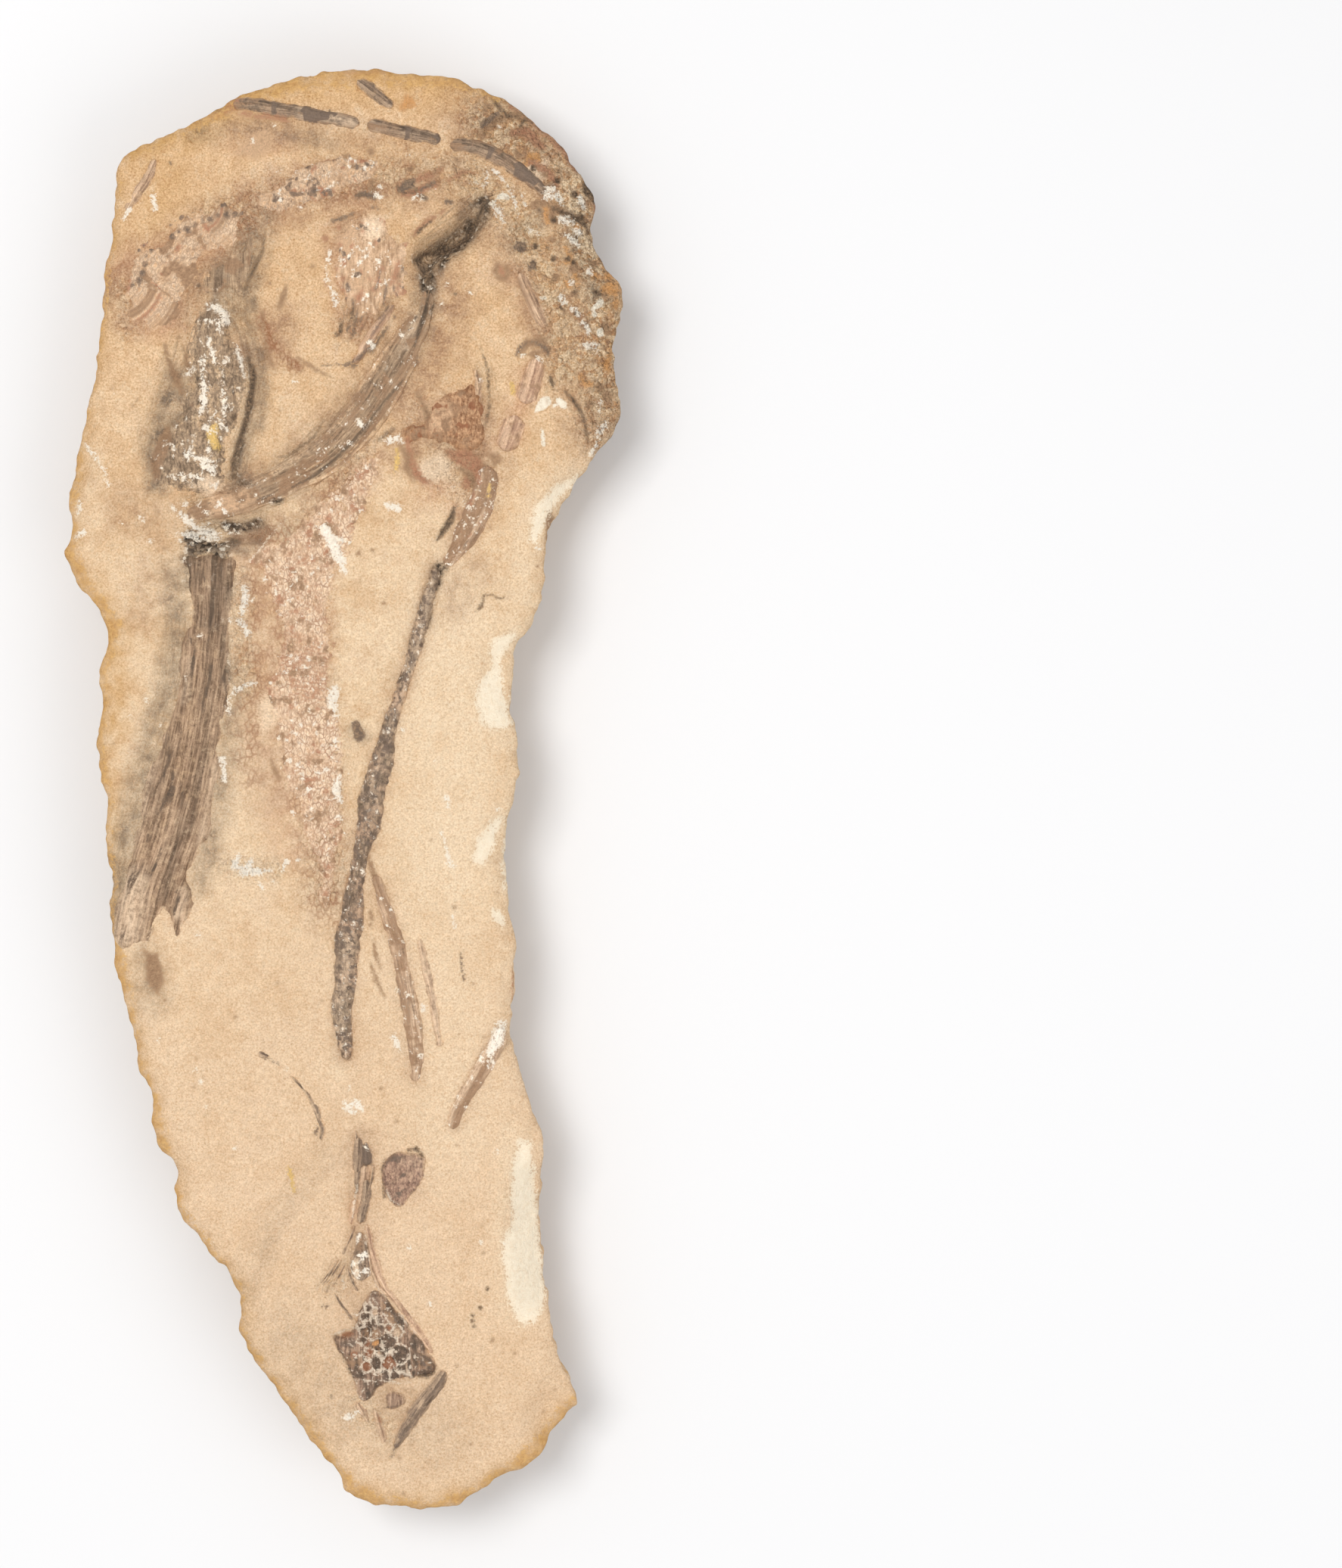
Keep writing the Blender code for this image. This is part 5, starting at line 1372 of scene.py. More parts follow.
def build_stone():
    """The slab: its face, its side in rings below the rim, and the flat that it rests on."""
    rim = stone_rim()
    outline = [tuple(p) for p in rim]
    inner = lattice_inside(outline, STONE_SPACING, STONE_SPACING * 0.7)
    plan, faces, rim_at = triangulate(rim, inner)
    x, y = plan[:, 0], plan[:, 1]
    z, depths, soft = stone_face(outline, x, y)
    marks = {**depths, **soft, "rim": crust_depth(x, y)}

    verts = [world(x, y, z)]
    total = len(plan)
    ring = rim_at
    rim_height = z[rim_at]
    side_marks = {name: [values] for name, values in marks.items()}
    for ring_x, ring_y, ring_z in side_point_rings(plan[rim_at], rim_height):
        verts.append(world(ring_x, ring_y, ring_z))
        below = list(range(total, total + len(rim)))
        total += len(rim)
        faces += band(ring, below)
        ring = below
        depth = rim_height - ring_z
        for name, values in side_marks.items():
            top = marks[name][rim_at]
            if name == "rim":
                stained = 1.5 * noise(rim[:, 0], rim[:, 1] + depth * 3, 14.0, 65)
                values.append(np.maximum(top - 0.15 * depth, stained))
            elif name in soft:
                values.append(top)
            else:
                values.append(top - depth * 1.2)

    base_rim = np.concatenate(verts)[ring][:, :2] / MM
    base_inner = lattice_inside([tuple(p) for p in base_rim], BASE_SPACING, BASE_MARGIN)
    base_plan, base_faces, base_at = triangulate(base_rim, base_inner)
    index = {base: ring[i] for i, base in enumerate(base_at)}
    extra = [i for i in range(len(base_plan)) if i not in index]
    for order, i in enumerate(extra):
        index[i] = total + order
    verts.append(np.stack([base_plan[extra, 0] * MM, base_plan[extra, 1] * MM, np.zeros(len(extra))], axis=1))
    faces += [[index[i] for i in reversed(face)] for face in base_faces]
    for name, values in side_marks.items():
        level = BASE_OCHRE if name == "ochre" else (0.0 if name in soft else -FAR)
        values.append(np.full((len(extra), *values[0].shape[1:]), level))
    attributes = {name: np.concatenate(values) for name, values in side_marks.items()}
    stone = new_object("limestone_half", np.concatenate(verts), faces, attributes, stone_material())
    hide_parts("stone_slab")
    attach(stone, "root")


# ---------------------------------------------------------------- bones
BONE_SPACING = 0.55
SEAT = 1.6               # the drawn bones go down this far into the stone
ROD_RAGGED = 0.35        # how uneven the sides of a long bone are, in millimetres
GRAIN_REACH = 60.0       # a plate's grain follows its line as far as this


def dress(relief, depths, x, y, edge, along, across):
    """The relief that a bone's own textures add, which may also deepen its marks."""
    total = 0.0
    for texture in relief:
        height, marks = texture(x, y, edge, along, across)
        total = total + height
        for kind, values in marks.items():
            depths[kind] = np.maximum(depths[kind], np.minimum(values, edge - 0.3))
    return total


def fibres(pitch, depth, seed, stretch=0.07, seam=None, share=0.28):
    """Splitting along the bone; where it is deepest a seam may be drawn."""
    def texture(x, y, edge, along, across):
        strand = fractal(along * stretch, across, pitch, 3, seed)
        return depth * strand, {seam: (-strand - share) * pitch} if seam else {}
    return texture


def lumps(size, depth, seed, seam=None, width=0.2):
    """Rounded grains side by side, with a seam between them."""
    def texture(x, y, edge, along, across):
        first, second, _ = cells(x, y, size, seed)
        gap = (second - first) / 2
        return depth * (step(gap / (0.3 * size)) - 0.5), {seam: width - gap} if seam else {}
    return texture


def patches(kind, size, share, seed, lift=0.0, stretch=1.0):
    """Ragged patches of one kind where a noise is high."""
    def texture(x, y, edge, along, across):
        depth = (fractal(along * stretch, across, size, 4, seed, 0.6) - share) * size * 0.8
        return lift * step((depth + 0.2) / 0.6), {kind: depth}
    return texture


def rows(pitch, depth, seed, angle, kind="brown", zone=None):
    """Curved rows of small overlapping scales, each row higher at one edge."""
    def texture(x, y, edge, along, across):
        turn = math.radians(angle)
        u = x * math.cos(turn) + y * math.sin(turn)
        v = -x * math.sin(turn) + y * math.cos(turn)
        v = v + 1.2 * noise(x, y, 12, seed) + 0.5 * noise(x, y, 4, seed + 1)
        row = np.floor(v / pitch)
        within = v / pitch - row
        bead = 0.5 + 0.5 * np.cos((u / (pitch * 1.5) + 0.5 * (row % 2)) * 2 * math.pi)
        amount = step(area(x, y, zone) / 3) if zone else 1.0
        high = within * (0.55 + 0.45 * bead)
        seam = (0.30 - within) * pitch * amount - (1 - amount) * 2
        return amount * depth * (high - 0.4), {kind: seam}
    return texture


def steps(size, depth, seed, kind=None):
    """Flakes broken to different levels."""
    def texture(x, y, edge, along, across):
        bend = 1.6 * noise(x, y, 5, seed + 1)
        first, second, number = cells(x + bend, y - bend, size, seed)
        gap = (second - first) / 2
        return depth * (number - 0.5), {kind: np.where(number > 0.5, 0.28 - gap, -FAR)} if kind else {}
    return texture


def chambers(places, seed, wall=0.24, reach=1.1):
    """Small chambers side by side, each filled with its own kind of mark, between thin pale raised walls."""
    def texture(x, y, edge, along, across):
        bent_x = x + 0.8 * noise(x, y, 2.0, seed)
        bent_y = y + 0.8 * noise(x, y, 2.0, seed + 1)
        beyond = np.stack([np.hypot(bent_x - cx, bent_y - cy) - radius for cx, cy, radius, _ in places])
        nearest = np.argmin(beyond, axis=0)
        two = np.partition(beyond, 1, axis=0)[:2]
        gap = np.minimum((two[1] - two[0]) / 2, reach - two[0])
        wall_width = wall * (1 + 1.3 * noise(x, y, 2.2, seed + 2))
        marks = {"wall": np.minimum(wall_width - gap, reach + wall - two[0])}
        for kind in sorted({place[3] for place in places}):
            mine = np.isin(nearest, [i for i, place in enumerate(places) if place[3] == kind])
            marks[kind] = np.where(mine, np.minimum(gap - wall, reach - two[0]), -FAR)
        inside = step((reach - two[0]) / 0.8)
        return inside * (0.6 * step((wall + 0.2 - gap) / 0.4) - 0.7 * step((gap - wall) / 0.9)), marks
    return texture


def beads(points, pitch, radius, kind="slate", lift=0.5):
    """A row of bead-like scales along a line."""
    def texture(x, y, edge, along, across):
        at, off = follow(x, y, points)
        row = at / pitch
        shift = 0.5 * noise(np.floor(row) * 7.0, row * 0, 5.0, 90)
        depth = radius * (1 + shift) - np.hypot((row - np.floor(row) - 0.5) * pitch, off + shift)
        return lift * step((depth + 0.2) / 0.7), {kind: depth}
    return texture


SHAFT_LINE = [(-45, 84), (-46, 60), (-48, 40), (-51, 20), (-55, 0), (-60, -18), (-66, -36), (-71, -56)]
FIN_EDGE = [
    (-78, 175), (-76.4, 179.4), (-73, 183), (-68.4, 186.4), (-63.4, 190), (-59, 193.6), (-54.6, 197),
    (-50, 199.6),
]
FIN_ROW = [
    (-74, 172), (-71, 173.4), (-66, 186), (-62, 188.4), (-56, 191), (-49, 194), (-42, 196.6), (-34, 198),
]
FIN_TOP = [(-48, 200.6), (-43, 200.4), (-38, 201.6), (-33, 201.4)]
RIPPLES = [(-25, 58), (-16, 56), (-4, 52), (-3, 38), (-5, 30), (-16, 26), (-22, 36), (-26, 46)]
SKULL_CHAMBERS = [
    (5.5, -178.6, 0.8, "dark"), (8.1, -178.2, 0.8, "slate"), (10.3, -179.4, 0.9, "cream"),
    (8.1, -181.1, 0.9, "dark"), (8.7, -183.7, 1.0, "brown"), (10.6, -182.9, 1.0, "dark"),
    (12.4, -182.6, 0.7, "slate"), (6.0, -183.8, 0.8, "brown"), (13.5, -185.3, 1.0, "slate"),
    (15.2, -185.2, 0.7, "russet"), (7.3, -186.1, 1.1, "brown"), (10.7, -187.3, 1.1, "brown"),
    (15.7, -189.4, 2.0, "slate"), (6.5, -189.4, 0.8, "dark"), (8.5, -190.2, 1.0, "russet"),
    (11.5, -191.0, 1.7, "orange"), (19.2, -194.4, 2.5, "dark"), (15.4, -196.6, 2.5, "russet"),
    (11.3, -197.2, 1.7, "dark"), (8.9, -194.4, 0.9, "russet"), (12.6, -194.2, 0.8, "cream"),
    (14.9, -201.8, 1.3, "slate"), (17.2, -202.2, 0.9, "dark"), (20.4, -199.4, 1.3, "cream"),
    (20.9, -202.4, 1.2, "brown"), (23.3, -203.9, 0.7, "dark"), (7.6, -198.8, 0.8, "russet"),
    (18.2, -186.4, 1.2, "cream"),
]
RELIEFS = {
    "striated_shaft": [
        fibres(3.4, 0.75, 101, 0.05), fibres(1.2, 0.3, 102, 0.2), patches("dark", 2.2, 0.92, 183, 0, 0.2),
    ],
    "long_rod": [
        fibres(2.0, 0.5, 103, 0.35), lumps(3.0, 0.7, 104, "slate", 0.1),
        patches("chalk", 1.2, 1.4, 105, 0.2), patches("dark", 1.3, 0.75, 106),
        patches("slate", 1.8, 0.45, 107),
    ],
    "arch_bone": [
        fibres(3.4, 1.0, 108, 0.06), fibres(1.6, 0.5, 109, 0.06, "brown", 0.36),
        patches("chalk", 1.6, 1.25, 110), patches("brown", 5.0, 0.30, 111),
    ],
    "chalky_bone": [
        fibres(3.0, 0.7, 112, 0.14), lumps(2.6, 0.5, 113), patches("chalk", 2.0, 1.0, 114, 0.3, 0.6),
        patches("dark", 2.0, 0.98, 115, 0, 0.5),
    ],
    "cheek_bone": [fibres(2.4, 0.5, 116, 0.3), patches("brown", 5.0, 0.30, 117)],
    "fin_lobe": [
        beads(FIN_EDGE, 2.3, 0.8), beads(FIN_ROW, 2.9, 0.9), beads(FIN_TOP, 2.6, 0.9),
        fibres(1.5, 0.35, 118, 0.5), lumps(1.9, 0.35, 119), patches("brown", 4.0, 0.35, 120),
        patches("red", 4.0, 0.66, 171),
    ],
    "fin_scales": [
        lumps(2.4, 0.6, 121), fibres(1.6, 0.3, 122, 0.6), patches("slate", 2.4, 0.62, 123, 0.1),
        patches("chalk", 1.8, 1.1, 124, 0.2), patches("red", 3.6, 0.60, 172),
    ],
    "gill_plate": [
        steps(8.0, 0.7, 125), fibres(2.6, 0.4, 126, 0.4), patches("chalk", 1.6, 1.2, 127),
        patches("red", 3.0, 0.85, 128), patches("slate", 4.0, 0.90, 173),
    ],
    "gill_splinter": [fibres(1.2, 0.4, 129, 0.06, "brown", 0.3)],
    "amber_plate": [
        steps(6.0, 1.3, 130, "brown"), fibres(1.8, 0.3, 131, 0.5), patches("russet", 5.0, 0.75, 132),
        patches("brown", 5.0, 0.62, 174),
    ],
    "flank_scales": [
        rows(1.5, 0.65, 133, -14, "red", RIPPLES), lumps(2.6, 0.6, 134), fibres(2.0, 0.35, 135, 0.6),
        patches("red", 3.0, 0.70, 136), patches("chalk", 1.8, 1.15, 137, 0.2),
        patches("brown", 3.0, 0.62, 175),
    ],
    "oval_bone": [steps(5.0, 0.7, 138), lumps(2.2, 0.3, 139), patches("slate", 4.4, 0.30, 140)],
    "skull_bones": [
        steps(5.0, 0.6, 142), fibres(2.2, 0.4, 176, 0.3, "dark", 0.32), chambers(SKULL_CHAMBERS, 141),
        # painted glints: small pale patches over the skull's chambers
        patches("dark", 1.4, 0.55, 177), patches("wall", 0.9, 0.85, 178, 0.1),
    ],
    "jaw_plate": [steps(4.0, 0.4, 144), lumps(2.0, 0.2, 145)],
    "club_bone": [
        fibres(3.0, 0.8, 146, 0.1, "brown", 0.3), patches("brown", 5.0, 0.60, 147),
        patches("chalk", 1.4, 1.1, 148), patches("red", 4.0, 0.4, 179),
    ],
    "shoulder_rod_middle": [fibres(2.2, 0.5, 149, 0.15), patches("brown", 3.4, 0.85, 150)],
    "shoulder_rod_lower": [fibres(2.2, 0.5, 151, 0.15), patches("brown", 3.4, 0.95, 152)],
    "fork_bone": [
        fibres(2.2, 0.6, 153, 0.1, "brown", 0.3), patches("chalk", 1.6, 1.05, 154),
        patches("brown", 3.0, 0.4, 180),
    ],
    "side_bone": [fibres(2.4, 0.6, 155, 0.1, "brown", 0.34), patches("chalk", 2.0, 0.95, 156)],
    "tail_spine": [fibres(1.8, 0.4, 157, 0.05, "slate", 0.3)],
    "neck_stem": [fibres(1.4, 0.5, 158, 0.06, "slate", 0.3), patches("chalk", 2.6, 0.45, 159)],
}
HEAD_BAR = [fibres(2.6, 0.35, 160, 0.2, "brown", 0.5), patches("slate", 7.0, 0.25, 161)]


def settle(piece, name):
    """The piece stands for its node, where it has one, and rides with the slab."""
    if name in frame["nodes"]:
        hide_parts(name)
    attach(piece, "root")


def bone_values(x, y, edge, fibre, depths, rim):
    """What a bone's material reads at its points, and then at the buried copies of its rim."""
    found = {"edge": np.concatenate([edge, np.zeros(len(rim))])}
    for name, values in {"fibre": fibre, **depths, **ground(x, y)}.items():
        found[name] = np.concatenate([values, values[rim]])
    return found


def rod(name, stations, rise, material, relief=()):
    """A long bone: a crowned strip along its middle line, with fibres, sunk at its edges into the stone."""
    middle = smooth_line(stations, BONE_SPACING)
    step_length = np.hypot(*np.diff(middle[:, :2], axis=0).T)
    along = np.concatenate([[0.0], np.cumsum(step_length)])
    ahead = np.gradient(middle[:, :2], axis=0)
    ahead /= np.hypot(ahead[:, 0], ahead[:, 1])[:, None]
    side = np.stack([-ahead[:, 1], ahead[:, 0]], axis=1)
    length = along[-1]
    ends = np.sqrt(np.clip(np.minimum(along, length - along) / (middle[:, 2] * 0.3), 0.06, 1))
    width = middle[:, 2] * ends
    columns = max(6, int(round(max(middle[:, 2]) / BONE_SPACING)))
    across = np.linspace(-1, 1, columns + 1)
    sides = [noise(along, np.full_like(along, place), 2.3, seed) for place, seed in ((9, 71), (3, 72))]
    reach = 1 + 2 * ROD_RAGGED * np.stack(sides, axis=1) / middle[:, 2:3]
    u, v = np.meshgrid(along, across, indexing="ij")
    half = (width[:, None] / 2 + 0.35) * np.where(v < 0, reach[:, :1], reach[:, 1:])
    x = middle[:, 0][:, None] + side[:, 0][:, None] * half * v
    y = middle[:, 1][:, None] + side[:, 1][:, None] * half * v
    x, y, u, v, half = (a.ravel() for a in (x, y, u, v, half))
    edge = half * (1 - np.abs(v))
    crown = (1 - np.abs(v) ** 3.0) * rise - 0.3
    height = open_face(x, y) + crown
    fibre = np.stack([u, v * half, np.zeros(len(u))], axis=1)
    height += 0.16 * fractal(u * 0.12, v * half, 0.9, 3, 73) + 0.12 * fractal(x, y, 2.0, 3, 74)
    depths = mark_depths(x, y, BONE_MARKS)
    height += mark_relief(depths) + dress(relief, depths, x, y, edge, u, v * half)
    top = world(x, y, height)
    low = world(x, y, open_face(x, y) - SEAT)

    last = len(along) - 1
    at = np.arange(len(x)).reshape(len(along), columns + 1)
    rim = list(at[:, 0]) + list(at[-1, 1:]) + list(at[:-1, -1][::-1]) + list(at[0, 1:-1][::-1])
    below = {point: len(x) + k for k, point in enumerate(rim)}
    faces = [[at[i, j], at[i + 1, j], at[i + 1, j + 1], at[i, j + 1]]
             for i in range(last) for j in range(columns)]
    faces += band(rim, [below[point] for point in rim])
    faces += [[below[point] for point in (at[i, 0], at[i, -1], at[i + 1, -1], at[i + 1, 0])]
              for i in range(1, last - 1)]
    faces += [[below[point] for point in list(at[0, :]) + [at[1, -1], at[1, 0]]]]
    faces += [[below[point] for point in [at[-2, 0], at[-2, -1]] + list(at[-1, ::-1])]]
    faces = [[int(i) for i in face] for face in faces]
    verts = np.concatenate([top, low[rim]])
    values = bone_values(x, y, edge, fibre, depths, rim)
    settle(new_object(name + "_bone", verts, flip_if_needed(verts, faces), values, material), name)


def flip_if_needed(verts, faces):
    """The faces turned so that the first one, on the top, faces up."""
    a, b, c = (verts[i] for i in faces[0][:3])
    if np.cross(b - a, c - a)[2] > 0:
        return faces
    return [face[::-1] for face in faces]


def plate(name, outline, rise, material, relief, crown, ragged):
    """A plate of bone or a sheet of scales, crowned towards its ragged edge and sunk there into the stone."""
    spacing = SPACINGS.get(name, BONE_SPACING)
    grain_line = GRAIN_LINES.get(name)
    rim = smooth_line(anticlockwise(outline), spacing * 1.2, closed=True)
    rim = rim + outward(rim) * (ragged * fractal(rim[:, 0], rim[:, 1], 6.0, 4, 81))[:, None]
    edge_line = [tuple(p) for p in rim]
    inner = lattice_inside(edge_line, spacing, spacing * 0.6)
    plan, faces, rim_at = triangulate(rim, inner)
    x, y = plan[:, 0], plan[:, 1]
    edge = np.maximum(0.0, area(x, y, edge_line))
    level = open_face(x, y)
    buried = np.maximum(0.3, 0.7 + 1.6 * fractal(x, y, 5.0, 3, 82)) * min(1.0, crown / 4.0)
    height = level + rise * step(edge / crown) - buried * (1 - step(edge / (1.0 + 0.35 * crown)))
    height += 0.12 * fractal(x, y, 2.0, 3, 83)
    along, across = follow(x, y, grain_line, GRAIN_REACH) if grain_line else (y, x)
    depths = mark_depths(x, y, BONE_MARKS)
    height += mark_relief(depths) + dress(relief, depths, x, y, edge, along, across)
    low = world(x[rim_at], y[rim_at], level[rim_at] - SEAT)
    start = len(plan)
    faces += band(rim_at, list(range(start, start + len(rim_at))))
    _, low_faces, low_at = triangulate(rim, np.zeros((0, 2)))
    back = {v: start + i for i, v in enumerate(low_at)}
    faces += [[back[i] for i in reversed(face)] for face in low_faces]
    fibre = np.stack([along, across, np.zeros(len(x))], axis=1)
    verts = np.concatenate([world(x, y, height), low])
    values = bone_values(x, y, edge, fibre, depths, rim_at)
    settle(new_object(name + "_bone", verts, faces, values, material), name)


# Long bones: how far each rises, its slot, then its middle line with the width at each point.
RODS = {
    "head_bar_left": (1.6, "grey_bone", [
        (-38, 235, 3.2), (-30, 234.6, 4.6), (-24, 233.5, 4.6), (-15, 232, 4.8), (-7, 230.5, 4.6),
        (0, 229.5, 4.6), (5, 228.2, 4.0)]),
    "head_bar_middle": (1.6, "grey_bone", [
        (8, 228, 4.2), (15, 226.5, 4.8), (25, 224.5, 4.6), (33, 222.7, 4.0)]),
    "head_bar_right": (1.8, "grey_bone", [
        (36.5, 221, 4.4), (45, 220.3, 5), (52, 217.5, 5.2), (60, 212.5, 5), (65, 208.5, 4.6),
        (69, 204.5, 3)]),
    "top_splinter": (1.2, "dark_bone", [
        (4.5, 243, 2.6), (7, 241.3, 4), (10, 239, 4.4), (14, 236, 3.6), (16.5, 234, 2)]),
    "edge_splinter": (0.9, "brown_bone", [
        (-65, 216, 2.4), (-68, 209.5, 3.6), (-72, 203.5, 3.6), (-75, 198.5, 2.4)]),
    "arch_bone": (1.5, "dark_bone", [
        (28.6, 172, 3), (27.4, 165, 5), (24.6, 158, 8), (20.6, 151, 11), (16.6, 144, 12.5),
        (12.4, 137, 13.5), (7.6, 129.5, 14), (1, 121.5, 13), (-7, 114, 12.5), (-16, 108.5, 11),
        (-26, 103, 9.5), (-36, 99, 8.5), (-46, 96, 7), (-54, 93.5, 4)]),
    "gill_splinter": (1.3, "red_bone", [
        (17, 166, 1.6), (14, 162, 2.6), (11, 158, 3), (8.5, 154, 3), (6, 150, 2.6), (3.5, 146, 1.8)]),
    "shoulder_rod_upper": (1.2, "brown_bone", [
        (60.4, 177, 2.4), (62, 173, 4.0), (64.4, 168, 4.4), (66.6, 163, 4.4), (69, 158.4, 2.4)]),
    "shoulder_rod_middle": (2.0, "red_bone", [
        (66.2, 147.6, 4.6), (65.2, 143, 6.4), (63.6, 137.4, 7.6), (61.9, 132.2, 6.8)]),
    "shoulder_rod_lower": (2.0, "red_bone", [
        (58.8, 128, 6.6), (58, 124.4, 7.6), (56.4, 119.6, 7.4), (55, 116, 5.6)]),
    "club_bone": (2.4, "brown_bone", [
        (49.4, 110.5, 5.4), (49, 106, 8), (47.6, 100, 9), (45, 93, 9), (41.4, 86, 8.4), (37.6, 80.4, 5.6),
        (34.6, 76.8, 3.4)]),
    "long_rod": (2.6, "grey_bone", [
        (31.6, 75.5, 3), (29.4, 67, 3.8), (26.6, 57.5, 4.4), (24, 47, 5), (21, 38.5, 3.6),
        (17.8, 28.5, 4.2), (15, 19, 5.6), (13, 9, 7.6), (9.8, -2, 9), (8.6, -12, 8.2), (5.6, -22.5, 5.2),
        (4, -33, 5.8), (2.6, -44, 8), (1, -55, 8.6), (0.4, -67, 7.6), (-1, -77, 6.6), (0.4, -87, 5),
        (1, -93, 2.6)]),
    "fork_bone": (1.6, "brown_bone", [
        (10.6, -30, 3), (13, -38, 4), (16, -46, 4.6), (18.6, -55, 5.2), (20.6, -66, 5.4), (23, -78, 5.8),
        (24.4, -88, 5.8), (24.8, -95, 5), (24.4, -100.5, 3.2)]),
    "thin_rod": (1.2, "brown_bone", [
        (26, -52, 1.8), (27.4, -59, 2.6), (29.2, -67, 2.8), (31, -77, 2.6), (32.8, -88.5, 1.8)]),
    "side_bone": (1.4, "brown_bone", [
        (54, -82.5, 2.8), (52.6, -87, 5), (49.6, -93, 5.6), (46, -99.4, 5.6), (42, -106, 5.6),
        (38.8, -112.4, 5), (37.2, -117, 3)]),
    "neck_blade_upper": (1.1, "dark_bone", [
        (5, -120, 2.4), (4.8, -126, 4.4), (4.3, -132, 2.8)]),
    "neck_blade_lower": (1.1, "dark_bone", [
        (7.6, -134.8, 2.8), (7.4, -139.4, 3.6), (6.4, -144.6, 3.4), (5.2, -149.4, 2.2)]),
    "neck_stem": (1.2, "dark_bone", [
        (5.2, -152.8, 2.2), (5.8, -158, 4.2), (5.8, -163.4, 7), (5.6, -169, 5.6)]),
    "tail_spine": (1.6, "dark_bone", [
        (34.6, -200.4, 3), (31.5, -205.4, 4.6), (27.5, -210.6, 4.8), (23, -217, 4.4), (19.8, -222.5, 3.4),
        (17.6, -226.6, 1.6)]),
}
# Splinters too small for a solid of their own, in the same form.
SPLINTERS = {
    "neck_blade_left": (0.8, "dark_bone", [
        (4.1, -117.4, 0.5), (4.4, -122, 1.7), (4.6, -130, 2.1), (4.2, -136, 1.6), (3.7, -139.6, 0.8)]),
    "neck_plate_top": (0.8, "dark_bone", [(7.4, -121.8, 1.2), (7.7, -125, 2.8), (7.7, -129.6, 3.2)]),
    "neck_plate_low": (0.7, "brown_bone", [
        (7.2, -129.8, 3.4), (6.9, -134, 3.4), (6.2, -139, 3.2), (5.6, -143.4, 2.6)]),
    "neck_edge": (0.8, "dark_bone", [
        (9.9, -129.6, 0.8), (9.3, -134, 0.9), (8.2, -139, 0.9), (6.6, -144.6, 0.9), (5.0, -149.6, 0.7)]),
    "neck_side": (0.6, "red_bone", [(3.6, -141.6, 1.4), (3.2, -145.6, 3.0), (2.0, -149.8, 2.0)]),
    "neck_thread": (0.5, "dark_bone", [(3.5, -150.6, 0.7), (1.8, -155, 0.9), (-0.6, -160.4, 0.8)]),
    "neck_slat_1": (0.5, "dark_bone", [(-1.2, -162.2, 0.7), (-4, -166.8, 0.8), (-6.6, -171.4, 0.7)]),
    "neck_slat_2": (0.5, "dark_bone", [(-2.6, -162.6, 0.7), (-5.4, -167.4, 0.8), (-8.6, -172.8, 0.7)]),
    "neck_slat_3": (0.5, "dark_bone", [(0.2, -163.6, 0.6), (-2.2, -168, 0.7), (-4.4, -171.8, 0.6)]),
    "neck_slat_4": (0.5, "dark_bone", [(-4, -164.6, 0.5), (-6.2, -167.6, 0.6), (-8.2, -170.2, 0.5)]),
    "neck_hook": (0.6, "dark_bone", [(1.0, -165.0, 0.8), (2.4, -169, 1.6), (4.6, -172.6, 1.0)]),
    "neck_foot": (0.6, "dark_bone", [
        (-3.6, -173.8, 0.8), (-1.4, -177.6, 1.3), (0.4, -179.6, 1.2), (2.8, -182.8, 1.4)]),
    "neck_ray_1": (0.8, "red_bone", [
        (7.6, -150, 0.8), (9.4, -158, 1.7), (11.6, -165.6, 1.9), (14.2, -171.6, 1.7), (19, -177.6, 2.3),
        (24, -184.6, 2.7), (28.4, -191, 2.2), (30, -194, 1.0)]),
    "neck_ray_2": (0.6, "brown_bone", [
        (8.6, -160, 0.7), (9.6, -165, 1.3), (12.2, -171, 1.3), (15.6, -174.6, 0.8)]),
    "tail_plate": (0.8, "brown_bone", [(10.6, -213.4, 1.4), (12, -218, 2.6), (13.8, -224.6, 2.2)]),
    "tail_chip": (0.8, "brown_bone", [(4.6, -211.4, 2.2), (6.4, -214.2, 3.0), (8.2, -217.4, 1.4)]),
    "curved_splinter": (0.7, "dark_bone", [
        (-18, -99, 0.6), (-15, -102.6, 1.0), (-12, -106, 1.3), (-10, -110, 1.5), (-8.6, -114, 1.7),
        (-7.6, -118, 1.5), (-8, -120.6, 0.8)]),
    "black_chip": (0.6, "dark_bone", [(-29.4, -90.8, 2.2), (-26.2, -92.2, 2.4)]),
    "blade_splinter": (0.8, "brown_bone", [(45.2, 143.8, 1.0), (46.2, 137.6, 2.8), (45.2, 130, 1.4)]),
}
